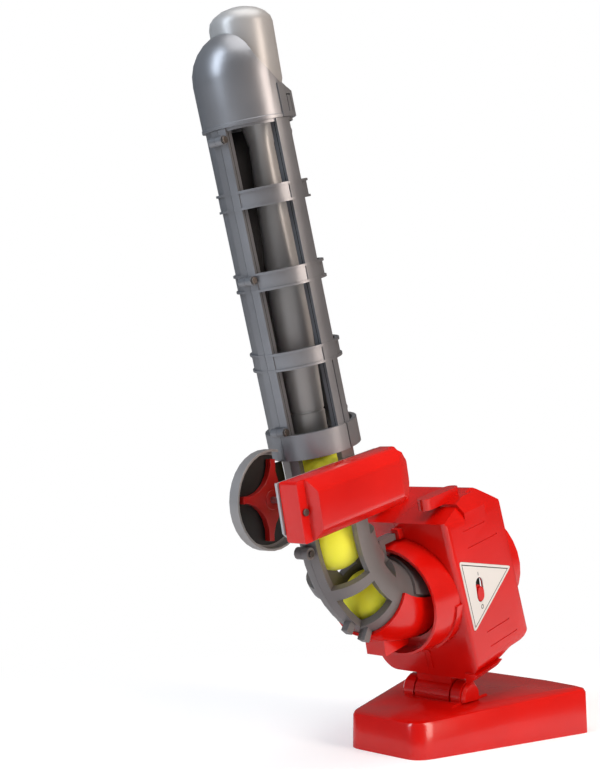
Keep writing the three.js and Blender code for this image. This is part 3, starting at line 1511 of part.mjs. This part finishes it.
function makeHood() {
  const foot = magazine.length + fitGap;
  const domeFoot = foot + hood.straight;
  const inner = hood.radius - hood.wall;
  const dome = (radius) => Array.from({ length: hood.domeSteps + 1 }, (_, step) => {
    const [across, up] = pointAt(radius, 90 * step / hood.domeSteps);
    return [step === hood.domeSteps ? 0 : across, domeFoot + up];
  });
  const shell = turned('z', {}, [
    [inner, foot], [hood.radius + hood.flare, foot], [hood.radius + hood.flare, foot + hood.flareHeight],
    [hood.radius, foot + hood.flareHeight + hood.flare], ...dome(hood.radius), ...dome(inner).reverse(),
  ], fineSides);
  const ear = prism('z', sectorShape(inner + hood.wall / 2, hood.radius + hood.earRise,
    hood.earDegrees - hood.earHalfDegrees, hood.earDegrees + hood.earHalfDegrees),
  foot, foot + hood.earHeight);
  const slotFoot = foot + hood.slotFoot;
  const slot = block([inner - cutOverrun, -hood.slotWidth / 2, slotFoot],
    [hood.radius + cutOverrun, hood.slotWidth / 2, slotFoot + hood.slotHeight]);
  const tongue = block([0, hood.slotGap - hood.slotWidth / 2, foot],
    [hood.radius + cutOverrun, hood.slotWidth / 2 - hood.slotGap, slotFoot + hood.slotHeight - hood.slotGap]);
  const edge = scaledOutline(hoodEdgeShares, 0, hood.radius, foot, hood.straight + hood.radius);
  const front = prism('y', shapeOf([...edge, [edge.at(-1)[0], edge[0][1]]]), -wholeReach, wholeReach);
  const latch = slot.subtract(tongue).rotate([0, 0, hood.earDegrees]);
  return without(joined([shell, ear]), [latch, front]);
}

// The bat, standing along Z from its foot
function makeBat() {
  const at = (share) => share * bat.length;
  const domeFoot = bat.length - bat.domeHeight;
  const dome = Array.from({ length: bat.domeSteps }, (_, step) => {
    const [across, up] = pointAt(1, 90 * (step + 1) / bat.domeSteps);
    return [step + 1 === bat.domeSteps ? 0 : across * bat.headRadius, domeFoot + up * bat.domeHeight];
  });
  const grooveEnd = bat.grooveAlong + bat.grooveWidth;
  return turned('z', {}, [
    [0, 0], [bat.knobRadius - bat.footRound, 0], [bat.knobRadius, bat.footRound],
    [bat.knobRadius, bat.grooveAlong], [bat.knobRadius - bat.grooveDepth, bat.grooveAlong],
    [bat.knobRadius - bat.grooveDepth, grooveEnd], [bat.knobRadius, grooveEnd],
    [bat.gripRadius, at(batShares.grip)], [bat.waistRadius, at(batShares.waist)],
    [bat.handleRadius, at(batShares.handle)],
    [bat.neckRadius, at(batShares.neck)], [bat.flareRadius, at(batShares.flare)],
    [bat.headRadius, at(batShares.head)], [bat.headRadius, domeFoot], ...dome,
  ], middleSides);
}

function makeBall([x, z]) {
  const geometry = new THREE.SphereGeometry(ball.radius, ball.sides, ball.sides / 2);
  geometry.rotateX(Math.PI / 2);
  geometry.translate(x, 0, z);
  return solidFrom(geometry);
}

function makeMagazine() {
  const group = new THREE.Group();
  group.position.set(magazineFootX, 0, magazine.footZ);
  group.rotation.y = THREE.MathUtils.degToRad(-magazine.leanDegrees);
  group.add(part('magazine_left', makeMagazineHalf(1), silverPlastic));
  group.add(part('magazine_right', makeMagazineHalf(-1), silverPlastic));
  group.add(part('hood', makeHood(), silverPlastic));
  for (const [name, z] of Object.entries(magazineBosses)) {
    group.add(part(`magazine_screw_${name}`, makeMagazineScrew(z), steel));
  }
  const stored = new THREE.Group();
  const lean = THREE.MathUtils.degToRad(bat.leanDegrees);
  const below = bat.axisCrossW - bat.footW;
  stored.position.set(-below * Math.tan(lean), 0, bat.footW);
  stored.rotation.y = lean;
  stored.add(part('bat', makeBat(), silverPlastic));
  group.add(stored);
  return group;
}

function makeFeeder() {
  const group = new THREE.Group();
  group.add(part('feeder_casing', makeFeederCasing(), greyPlastic));
  group.add(part('star_wheel', makeStarWheel(), redPlastic));
  group.add(part('star_shaft', rod('y', starAt, feeder.shaftRadius, feeder.shaftNearY, feeder.shaftFarY,
    smallSides), steel));
  group.add(part('feeder_plate', makeFeederPlate(), greyPlastic));
  group.add(part('feeder_box', makeFeederBox(), redPlastic));
  group.add(part('star_gear', makeStarGear(), whitePlastic));
  group.add(part('worm_gear', makeWormGear(), whitePlastic));
  group.add(part('worm', makeWorm(), steel));
  group.add(part('feeder_motor', makeFeederMotor(), steel));
  const screwSizes = { ...screw, length: feeder.screwLength };
  group.add(part('feeder_screw', makeScrew('y', { x: feeder.screwX, z: feeder.screwZ },
    flangeFarY - fitGap - screw.headHeight, 1, screwSizes), steel));
  return group;
}

function makeHead() {
  const group = new THREE.Group();
  group.position.set(tilt.x, 0, tilt.z);
  group.rotation.y = THREE.MathUtils.degToRad(-tilt.degrees);
  group.add(part('head_knuckle', makeKnuckle(), redPlastic));
  group.add(part('housing_left', makeHousingHalf(1), redPlastic));
  group.add(part('housing_right', makeHousingHalf(-1), redPlastic));
  for (const { name, y, z } of frontScrewPlaces()) {
    group.add(part(`housing_screw_${name}`, makeScrew('x', { y, z }, housingFrontX(z) - fitGap, -1, screw),
      steel));
  }
  group.add(part('muzzle_ring', makeMuzzleRing(), redPlastic));
  group.add(part('inlet_ring', makeInletRing(), redPlastic));
  group.add(part('inlet_cup', makeInletCup(), redPlastic));
  group.add(part('side_badge', makeSideBadge(), whitePlastic));
  group.add(part('switch_slider', makeSwitchSlider(), redPlastic));
  group.add(part('switch_body', makeSwitchBody(), blackPlastic));
  for (const [name, at] of Object.entries(wheelPlaces)) {
    group.add(part(`${name}_wheel`, makeWheelHub(at), whitePlastic));
    group.add(part(`${name}_tyre`, makeTyre(at), rubber));
    group.add(part(`${name}_shaft`, makeWheelShaft(at), steel));
    group.add(part(`${name}_motor`, makeWheelMotor(at), steel));
  }
  group.add(part('ball_guide', makeBallGuide(), greyPlastic));
  group.add(part('elbow_left', makeElbow(1), greyPlastic));
  group.add(part('elbow_right', makeElbow(-1), greyPlastic));
  group.add(part('elbow_screw', makeElbowScrew(), steel));
  ballPlaces.forEach((place, index) => {
    group.add(part(`ball_${index + 1}`, makeBall(place), foam));
  });
  group.add(makeFeeder(), makeMagazine());
  return group;
}

const machine = new THREE.Group();
machine.add(makeBase(), makeHead());
export default machine;
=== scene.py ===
# The looks of a toy ball-pitching machine: procedural materials, finer round pieces, a plain studio
# and the camera. Lengths are metres in the part's own frame: +X is the pitching direction, +Y the
# machine's left and +Z up.
import json
import math

import bpy
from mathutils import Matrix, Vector


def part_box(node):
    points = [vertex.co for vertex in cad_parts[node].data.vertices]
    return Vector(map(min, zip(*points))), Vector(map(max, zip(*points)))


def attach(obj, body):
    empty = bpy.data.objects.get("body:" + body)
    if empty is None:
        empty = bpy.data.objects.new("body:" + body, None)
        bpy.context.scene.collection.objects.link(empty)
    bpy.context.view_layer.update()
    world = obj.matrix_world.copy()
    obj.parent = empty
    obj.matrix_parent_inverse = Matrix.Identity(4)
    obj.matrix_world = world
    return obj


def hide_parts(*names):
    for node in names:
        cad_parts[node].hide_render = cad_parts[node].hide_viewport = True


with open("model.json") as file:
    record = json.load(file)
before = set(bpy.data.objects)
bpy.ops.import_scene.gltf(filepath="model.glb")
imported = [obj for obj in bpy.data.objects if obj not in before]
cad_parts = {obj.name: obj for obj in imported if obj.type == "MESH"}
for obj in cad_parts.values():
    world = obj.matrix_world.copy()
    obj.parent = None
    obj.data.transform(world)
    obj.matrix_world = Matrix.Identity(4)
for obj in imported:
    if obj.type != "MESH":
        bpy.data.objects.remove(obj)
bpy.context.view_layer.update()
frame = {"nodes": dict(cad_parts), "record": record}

# The camera: place, heading and pitch in degrees, and the lens on a 36 mm sensor
CAMERA_PLACE = (-1.056, -0.7323, 0.292)
CAMERA_HEADING = 42.0
CAMERA_PITCH = 3.9
CAMERA_LENS = 54.16
CAMERA_SENSOR = 36
CAMERA_NEAR = 0.01

# The studio: how far the floor is lifted towards white and where it fades to it, the fill light, the
# share of it that glossy surfaces mirror, the floor's size, the point that the lamps are aimed at, and
# the tints from the left and the right of the view
FLOOR_LIFT = 0.3
FLOOR_FADE = (0.28, 0.7)
WORLD_FILL = 0.3
MIRRORED_SHARE = 0.45
FLOOR_SIZE = 30
LAMP_AIM = Vector((-0.08, 0, 0.32))
VIEW_LEFT = Vector((-0.669, 0.743, 0))
COOL = (0.78, 0.88, 1.0)
WARM = (1.0, 0.86, 0.76)

# How CAD pieces are smoothed: facets that meet flatter than this angle look round
SMOOTH_DEGREES = 36
WELD_DISTANCE = 0.00001
FLAT_DEGREES = 0.6

# Edge rounding of the CAD pieces, by piece name
EDGE_WIDTH = 0.0006
EDGE_WIDTHS = {
    "base_shell": 0.0012,
    "feeder_box": 0.0011,
    "housing_left": 0.0009,
    "housing_right": 0.0009,
    "hood": 0.0005,
    "side_badge": 0.00025,
    "worm": 0.0001,
    "star_gear": 0.0002,
    "worm_gear": 0.0002,
}
PLAIN_PIECES = ("worm", "star_gear", "worm_gear")

BALL_RADIUS = 0.0295
BALL_SEGMENTS = 96
BALL_PITS = 0.00012
PITS_ACROSS = 12
FOAM_DEPTH = 0.006

# Moulded surfaces: the gloss of a clear coat, and how much coarser the colour change and how much
# finer the grain is than the change in gloss
COAT_ROUGHNESS = 0.08
COLOUR_COARSER = 6
GRAIN_FINER = 30

# The head's frame: its pivot and its pitch, for places on the pieces that ride on it
HEAD_PIVOT = Vector((-0.017, 0, 0.047))
HEAD_PITCH = math.radians(13)
TUBE_LEAN = math.radians(4.43)

# The ball tube's axis and its inner wall, and the feeder's dish, as places in the head's frame
TUBE_FOOT = (-0.1397, 0, 0.301)
TUBE_WALL = 0.0385
TUBE_LENGTH = 0.305
STAR_PLACE = (-0.206, 0, 0.2645)
DISH_INSIDE = 0.0412
DISH_FLOOR = 0.0118
SKIN = 0.0004

# The badge: its corners in the head's frame, the border printed inside its edge, and the marks
BADGE_CORNERS = ((-0.023, 0, 0.155), (0.07, 0, 0.123), (-0.0126, 0, 0.077))
BADGE_BORDER = (0.0026, 0.0036)
MARK_PLACES = {"on": (0.007, 0, 0.1335), "off": (0.007, 0, 0.0985)}
MARK_SIZE = 0.0019
MARK_LINE = 0.0005


def in_head(place):
    """A place in the head's frame as a place in the part's frame, at rest."""
    x, y, z = place
    cosine = math.cos(HEAD_PITCH)
    sine = math.sin(HEAD_PITCH)
    return HEAD_PIVOT + Vector((x * cosine - z * sine, y, x * sine + z * cosine))


def upward(angle_back):
    """The upward direction of something that leans back by an angle in radians."""
    return Vector((-math.sin(angle_back), 0, math.cos(angle_back)))


# Materials
def new_material(name):
    material = bpy.data.materials.new(name)
    material.use_nodes = True
    nodes = material.node_tree.nodes
    return material, nodes, material.node_tree.links, nodes["Principled BSDF"]


def noise(nodes, links, scale, detail=4.0, roughness=0.5):
    """Noise in the piece's own space, so that it keeps still when the piece moves."""
    coordinates = nodes.new("ShaderNodeTexCoord")
    texture = nodes.new("ShaderNodeTexNoise")
    texture.inputs["Scale"].default_value = scale
    texture.inputs["Detail"].default_value = detail
    texture.inputs["Roughness"].default_value = roughness
    links.new(coordinates.outputs["Object"], texture.inputs["Vector"])
    return texture.outputs["Fac"]


def ramp(nodes, links, factor, low, high, start=0.35, end=0.65):
    """A colour ramp between two colours."""
    blend = nodes.new("ShaderNodeValToRGB")
    blend.color_ramp.elements[0].position = start
    blend.color_ramp.elements[1].position = end
    blend.color_ramp.elements[0].color = (*low, 1)
    blend.color_ramp.elements[1].color = (*high, 1)
    links.new(factor, blend.inputs["Fac"])
    return blend.outputs["Color"]


def spread(nodes, links, factor, low, high):
    """A number that follows a texture between two values."""
    change = nodes.new("ShaderNodeMapRange")
    change.inputs["To Min"].default_value = low
    change.inputs["To Max"].default_value = high
    links.new(factor, change.inputs["Value"])
    return change.outputs["Result"]


def spread_from(nodes, links, value, low, high):
    """A value between two limits, as a share."""
    change = nodes.new("ShaderNodeMapRange")
    change.inputs["From Min"].default_value = low
    change.inputs["From Max"].default_value = high
    links.new(value, change.inputs["Value"])
    return change.outputs["Result"]


def bump(nodes, links, height, distance):
    raised = nodes.new("ShaderNodeBump")
    raised.inputs["Distance"].default_value = distance
    links.new(height, raised.inputs["Height"])
    return raised.outputs["Normal"]


def arithmetic(nodes, links, operation, first, second):
    """One sum; each side is a socket or a number."""
    step = nodes.new("ShaderNodeMath")
    step.operation = operation
    for socket, value in zip(step.inputs, (first, second)):
        if isinstance(value, (int, float)):
            socket.default_value = value
        else:
            links.new(value, socket)
    return step.outputs["Value"]


def within(nodes, links, value, low, high):
    """One where a value lies between two limits, and nothing elsewhere."""
    above = arithmetic(nodes, links, "GREATER_THAN", value, low)
    below = arithmetic(nodes, links, "LESS_THAN", value, high)
    return arithmetic(nodes, links, "MULTIPLY", above, below)


def offset_from(nodes, links, place):
    """The way from a place to the shaded point, in the piece's own space."""
    coordinates = nodes.new("ShaderNodeTexCoord")
    offset = nodes.new("ShaderNodeVectorMath")
    offset.operation = "SUBTRACT"
    links.new(coordinates.outputs["Object"], offset.inputs[0])
    offset.inputs[1].default_value = place
    return offset.outputs["Vector"]


def along(nodes, links, offset, direction):
    """How far an offset reaches along a direction."""
    reach = nodes.new("ShaderNodeVectorMath")
    reach.operation = "DOT_PRODUCT"
    links.new(offset, reach.inputs[0])
    reach.inputs[1].default_value = direction
    return reach.outputs["Value"]


def axis_distance(nodes, links, place, direction):
    """The distance from a line through a place."""
    across = nodes.new("ShaderNodeVectorMath")
    across.operation = "CROSS_PRODUCT"
    links.new(offset_from(nodes, links, place), across.inputs[0])
    across.inputs[1].default_value = direction
    length = nodes.new("ShaderNodeVectorMath")
    length.operation = "LENGTH"
    links.new(across.outputs["Vector"], length.inputs[0])
    return length.outputs["Value"]


def blended(nodes, links, mask, base, other):
    """A colour that changes to another where a mask says so."""
    mix = nodes.new("ShaderNodeMix")
    mix.data_type = "RGBA"
    links.new(mask, mix.inputs["Factor"])
    links.new(base, mix.inputs["A"])
    mix.inputs["B"].default_value = (*other, 1)
    return mix.outputs["Result"]


def shade(name, low, high, rough, scale=60.0, metallic=0.0, grain=0.00002, coat=0.0, depth=0.0,
          marks_and_painted_shade=None):
    """A moulded or painted surface: a slight colour change, uneven gloss and a fine grain. Light goes into
    it by a depth. The function for a second colour, if any, gives its mask and that colour: print on the
    badge, and painted shade on the insides of the tube and the dish."""
    material, nodes, links, surface = new_material(name)
    surface.inputs["Metallic"].default_value = metallic
    surface.inputs["Coat Weight"].default_value = coat
    surface.inputs["Coat Roughness"].default_value = COAT_ROUGHNESS
    if depth:
        surface.inputs["Subsurface Weight"].default_value = 1.0
        surface.inputs["Subsurface Radius"].default_value = (1, 1, 1)
        surface.inputs["Subsurface Scale"].default_value = depth
    wide = noise(nodes, links, scale / COLOUR_COARSER, 3.0)
    colour = ramp(nodes, links, wide, low, high)
    if marks_and_painted_shade:
        mask, other = marks_and_painted_shade(nodes, links)
        colour = blended(nodes, links, mask, colour, other)
    links.new(colour, surface.inputs["Base Color"])
    links.new(spread(nodes, links, noise(nodes, links, scale), *rough), surface.inputs["Roughness"])
    fine = noise(nodes, links, scale * GRAIN_FINER, 2.0)
    links.new(bump(nodes, links, fine, grain), surface.inputs["Normal"])
    return material


def painted_tube_shade(nodes, links):
    """The inner wall of the ball tube, painted near black as shade, since it gets hardly any light."""
    foot = in_head(TUBE_FOOT)
    axis = upward(HEAD_PITCH + TUBE_LEAN)
    wall = within(nodes, links, axis_distance(nodes, links, foot, axis), TUBE_WALL - SKIN, TUBE_WALL + SKIN)
    height = along(nodes, links, offset_from(nodes, links, foot), axis)
    inside = within(nodes, links, height, 0, TUBE_LENGTH)
    return arithmetic(nodes, links, "MULTIPLY", wall, inside), (0.012, 0.012, 0.014)


def painted_dish_shade(nodes, links):
    """The inside of the feeder's dish, painted near black as shade."""
    centre = in_head(STAR_PLACE)
    distance = axis_distance(nodes, links, centre, Vector((0, 1, 0)))
    depth = along(nodes, links, offset_from(nodes, links, centre), Vector((0, 1, 0)))
    near = arithmetic(nodes, links, "LESS_THAN", distance, DISH_INSIDE + SKIN)
    inner = arithmetic(nodes, links, "LESS_THAN", depth, DISH_FLOOR)
    return arithmetic(nodes, links, "MULTIPLY", near, inner), (0.02, 0.017, 0.016)


def badge_print(nodes, links):
    """A thin border inside the badge's edge, and the plain marks for on and off."""
    corners = [in_head(corner) for corner in BADGE_CORNERS]
    middle = sum(corners, Vector()) / len(corners)
    edge = None
    for corner, following in zip(corners, corners[1:] + corners[:1]):
        inward = (following - corner).cross(Vector((0, 1, 0))).normalized()
        if inward.dot(middle - corner) < 0:
            inward.negate()
        reach = along(nodes, links, offset_from(nodes, links, corner), inward)
        edge = reach if edge is None else arithmetic(nodes, links, "MINIMUM", edge, reach)
    border = within(nodes, links, edge, *BADGE_BORDER)
    ring = axis_distance(nodes, links, in_head(MARK_PLACES["off"]), Vector((0, 1, 0)))
    ring = within(nodes, links, ring, MARK_SIZE - MARK_LINE, MARK_SIZE + MARK_LINE)
    start = offset_from(nodes, links, in_head(MARK_PLACES["on"]))
    head_up = upward(HEAD_PITCH)
    up = along(nodes, links, start, head_up)
    side = along(nodes, links, start, head_up.cross(Vector((0, 1, 0))))
    bar = arithmetic(nodes, links, "MULTIPLY", within(nodes, links, up, -MARK_SIZE, MARK_SIZE),
                     within(nodes, links, side, -MARK_LINE, MARK_LINE))
    marks = arithmetic(nodes, links, "MAXIMUM", ring, bar)
    return arithmetic(nodes, links, "MAXIMUM", border, marks), (0.02, 0.02, 0.022)


def make_materials():
    return {
        "red_plastic": shade("red_plastic", (0.58, 0.003, 0.001), (0.67, 0.005, 0.002), (0.16, 0.26),
                             coat=0.2),
        # The star wheel's red is a darker, shaded copy of the red plastic: painted shade.
        "star_red_painted_shade": shade("star_red_painted_shade", (0.3, 0.004, 0.003), (0.38, 0.006, 0.004), (0.25, 0.38)),
        "silver_plastic": shade("silver_plastic", (0.2, 0.2, 0.212), (0.26, 0.26, 0.272), (0.3, 0.42),
                                metallic=0.62, grain=0.00002, marks_and_painted_shade=painted_tube_shade),
        # The bat's silver is a lighter, less metallic copy of the tube's silver: painted light against the
        # shade inside the tube.
        "bat_silver_painted_light": shade("bat_silver_painted_light", (0.34, 0.33, 0.325), (0.42, 0.41, 0.4), (0.34, 0.45),
                            metallic=0.3),
        "grey_plastic": shade("grey_plastic", (0.15, 0.135, 0.135), (0.19, 0.175, 0.172), (0.34, 0.48),
                              metallic=0.35),
        "casing_grey": shade("casing_grey", (0.24, 0.225, 0.22), (0.3, 0.285, 0.28), (0.34, 0.48),
                             metallic=0.35, marks_and_painted_shade=painted_dish_shade),
        "plate_grey": shade("plate_grey", (0.34, 0.335, 0.345), (0.42, 0.415, 0.425), (0.3, 0.42),
                            metallic=0.35),
        "black_plastic": shade("black_plastic", (0.012, 0.012, 0.013), (0.02, 0.02, 0.022), (0.4, 0.55)),
        "white_plastic": shade("white_plastic", (0.72, 0.72, 0.7), (0.8, 0.8, 0.78), (0.35, 0.48)),
        "badge_white": shade("badge_white", (0.7, 0.69, 0.67), (0.76, 0.75, 0.73), (0.3, 0.42),
                             marks_and_painted_shade=badge_print),
        "yellow_foam": shade("yellow_foam", (0.95, 0.8, 0.03), (1.0, 0.9, 0.07), (0.75, 0.92),
                             grain=0.0001, depth=FOAM_DEPTH),
        "black_rubber": shade("black_rubber", (0.016, 0.016, 0.016), (0.03, 0.03, 0.03), (0.7, 0.88),
                              grain=0.00008),
        "steel": shade("steel", (0.48, 0.48, 0.5), (0.62, 0.62, 0.64), (0.22, 0.38), scale=200.0,
                       metallic=1.0),
        "dark_steel": shade("dark_steel", (0.1, 0.085, 0.075), (0.16, 0.14, 0.125), (0.28, 0.42),
                            scale=200.0, metallic=0.9),
        "cell_jacket": shade("cell_jacket", (0.03, 0.09, 0.16), (0.05, 0.13, 0.22), (0.2, 0.32)),
    }


# Pieces whose finish differs from the rest of their slot; for the bat and the star wheel the difference is
# painted light: a lighter silver against the shade inside the tube, and a darker, shaded red.
OWN_FINISHES = {
    "bat": "bat_silver_painted_light",
    "star_wheel": "star_red_painted_shade",
    "feeder_casing": "casing_grey",
    "feeder_plate": "plate_grey",
    "side_badge": "badge_white",
}


# Finer shading of the CAD pieces
def smoothing_group():
    """Geometry nodes that weld a piece's facets and shade the flat ones smooth."""
    group = bpy.data.node_groups.new("smooth_facets", "GeometryNodeTree")
    group.interface.new_socket("Geometry", in_out="INPUT", socket_type="NodeSocketGeometry")
    group.interface.new_socket("Geometry", in_out="OUTPUT", socket_type="NodeSocketGeometry")
    nodes = group.nodes
    start = nodes.new("NodeGroupInput")
    weld = nodes.new("GeometryNodeMergeByDistance")
    weld.inputs["Distance"].default_value = WELD_DISTANCE
    smooth = nodes.new("GeometryNodeSetShadeSmooth")
    angle = nodes.new("GeometryNodeInputMeshEdgeAngle")
    sharper = nodes.new("FunctionNodeCompare")
    sharper.operation = "GREATER_THAN"
    sharper.inputs[1].default_value = math.radians(SMOOTH_DEGREES)
    sharp = nodes.new("GeometryNodeSetShadeSmooth")
    sharp.domain = "EDGE"
    sharp.inputs["Shade Smooth"].default_value = False
    end = nodes.new("NodeGroupOutput")
    links = group.links
    links.new(start.outputs[0], weld.inputs["Geometry"])
    links.new(weld.outputs["Geometry"], smooth.inputs["Geometry"])
    links.new(smooth.outputs["Geometry"], sharp.inputs["Geometry"])
    links.new(angle.outputs["Unsigned Angle"], sharper.inputs[0])
    links.new(sharper.outputs["Result"], sharp.inputs["Selection"])
    links.new(sharp.outputs["Geometry"], end.inputs[0])
    return group


def round_edges(piece, group):
    """Joins coplanar facets, rounds the sharp edges and shades the rest smooth."""
    smooth = piece.modifiers.new("smooth", "NODES")
    smooth.node_group = group
    if piece.name in PLAIN_PIECES:
        return
    flat = piece.modifiers.new("flat", "DECIMATE")
    flat.decimate_type = "DISSOLVE"
    flat.angle_limit = math.radians(FLAT_DEGREES)
    edges = piece.modifiers.new("edges", "BEVEL")
    edges.width = EDGE_WIDTHS.get(piece.name, EDGE_WIDTH)
    edges.segments = 2
    edges.limit_method = "ANGLE"
    edges.angle_limit = math.radians(SMOOTH_DEGREES)
    edges.harden_normals = True


def dress_nodes(materials):
    group = smoothing_group()
    slots = {entry["node"]: entry["material_slot"] for entry in frame["record"]["subparts"]}
    for name, piece in frame["nodes"].items():
        piece.data.materials.clear()
        finish = "dark_steel" if "_screw" in name else OWN_FINISHES.get(name, slots[name])
        piece.data.materials.append(materials[finish])
        round_edges(piece, group)


# The balls, as smooth spheres with a fine open-cell skin
def make_ball(name, material):
    low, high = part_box(name)
    bpy.ops.mesh.primitive_uv_sphere_add(
        segments=BALL_SEGMENTS, ring_count=BALL_SEGMENTS // 2, radius=BALL_RADIUS - BALL_PITS)
    piece = bpy.context.object
    piece.name = name + "_foam"
    piece.location = (low + high) / 2
    for face in piece.data.polygons:
        face.use_smooth = True
    pits = bpy.data.textures.new(name + "_pits", "CLOUDS")
    pits.noise_scale = BALL_RADIUS / PITS_ACROSS
    skin = piece.modifiers.new("skin", "DISPLACE")
    skin.texture = pits
    skin.strength = 2 * BALL_PITS
    skin.texture_coords = "LOCAL"
    piece.data.materials.append(material)
    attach(piece, "head")
    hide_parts(name)


# The studio
def floor_material():
    """A pale floor that keeps the shadows near the object and fades to white further away."""
    material, nodes, links, surface = new_material("studio_floor")
    surface.inputs["Base Color"].default_value = (0.8, 0.8, 0.8, 1)
    surface.inputs["Roughness"].default_value = 0.9
    surface.inputs["Specular IOR Level"].default_value = 0
    surface.inputs["Emission Color"].default_value = (1, 1, 1, 1)
    rays = nodes.new("ShaderNodeLightPath")
    seen = rays.outputs["Is Camera Ray"]
    links.new(arithmetic(nodes, links, "MULTIPLY", seen, FLOOR_LIFT), surface.inputs["Emission Strength"])
    distance = axis_distance(nodes, links, Vector(), Vector((0, 0, 1)))
    fade = nodes.new("ShaderNodeMapRange")
    fade.interpolation_type = "SMOOTHSTEP"
    fade.inputs["From Min"].default_value, fade.inputs["From Max"].default_value = FLOOR_FADE
    links.new(distance, fade.inputs["Value"])
    white = nodes.new("ShaderNodeEmission")
    mix = nodes.new("ShaderNodeMixShader")
    links.new(arithmetic(nodes, links, "MULTIPLY", fade.outputs["Result"], seen), mix.inputs["Fac"])
    links.new(surface.outputs["BSDF"], mix.inputs[1])
    links.new(white.outputs["Emission"], mix.inputs[2])
    links.new(mix.outputs["Shader"], nodes["Material Output"].inputs["Surface"])
    return material


def make_floor():
    bpy.ops.mesh.primitive_plane_add(size=FLOOR_SIZE)
    floor = bpy.context.object
    floor.name = "studio_floor"
    floor.data.materials.append(floor_material())


def make_world():
    """White where the camera sees it. The light on the object is cooler from the left of the view
    and warmer from the right."""
    world = bpy.data.worlds.new("studio")
    bpy.context.scene.world = world
    world.use_nodes = True
    nodes = world.node_tree.nodes
    links = world.node_tree.links
    background = nodes["Background"]
    rays = nodes.new("ShaderNodeLightPath")
    seen = arithmetic(nodes, links, "MAXIMUM", rays.outputs["Is Camera Ray"],
                      rays.outputs["Is Transmission Ray"])
    level = nodes.new("ShaderNodeMapRange")
    level.inputs["To Min"].default_value = WORLD_FILL
    level.inputs["To Max"].default_value = 1.0
    links.new(seen, level.inputs["Value"])
    mirrored = nodes.new("ShaderNodeMapRange")
    mirrored.inputs["To Min"].default_value = 1.0
    mirrored.inputs["To Max"].default_value = MIRRORED_SHARE
    links.new(rays.outputs["Is Glossy Ray"], mirrored.inputs["Value"])
    strength = arithmetic(nodes, links, "MULTIPLY", level.outputs["Result"], mirrored.outputs["Result"])
    links.new(strength, background.inputs["Strength"])
    coordinates = nodes.new("ShaderNodeTexCoord")
    side = along(nodes, links, coordinates.outputs["Generated"], VIEW_LEFT)
    tint = ramp(nodes, links, spread_from(nodes, links, side, -1, 1), WARM, COOL, 0.2, 0.8)
    links.new(blended(nodes, links, seen, tint, (1, 1, 1)), background.inputs["Color"])


def make_lamp(name, place, size, power, tint):
    data = bpy.data.lights.new(name, "AREA")
    data.shape = "RECTANGLE"
    data.size, data.size_y = size
    data.energy = power
    data.color = tint
    lamp = bpy.data.objects.new(name, data)
    bpy.context.scene.collection.objects.link(lamp)
    lamp.location = place
    lamp.rotation_euler = (LAMP_AIM - Vector(place)).to_track_quat("-Z", "Y").to_euler()


def make_lamps():
    make_lamp("left_lamp", (-1.8, 0.3, 1.3), (0.5, 1.5), 22, COOL)
    make_lamp("right_lamp", (0.1, -1.9, 0.9), (0.6, 1.5), 26, WARM)
    make_lamp("top_lamp", (-0.4, -0.4, 2.2), (1.6, 1.6), 26, (1, 1, 1))


def make_camera():
    data = bpy.data.cameras.new("camera")
    data.sensor_width = CAMERA_SENSOR
    data.lens = CAMERA_LENS
    data.clip_start = CAMERA_NEAR
    camera = bpy.data.objects.new("camera", data)
    bpy.context.scene.collection.objects.link(camera)
    heading = math.radians(CAMERA_HEADING)
    pitch = math.radians(CAMERA_PITCH)
    aim = Vector((math.cos(pitch) * math.cos(heading), math.cos(pitch) * math.sin(heading),
                  math.sin(pitch)))
    camera.location = CAMERA_PLACE
    camera.rotation_euler = aim.to_track_quat("-Z", "Y").to_euler()
    bpy.context.scene.camera = camera


materials = make_materials()
dress_nodes(materials)
for number in (1, 2, 3):
    make_ball(f"ball_{number}", materials["yellow_foam"])
make_floor()
make_world()
make_lamps()
make_camera()
bpy.context.scene.view_settings.view_transform = "Standard"
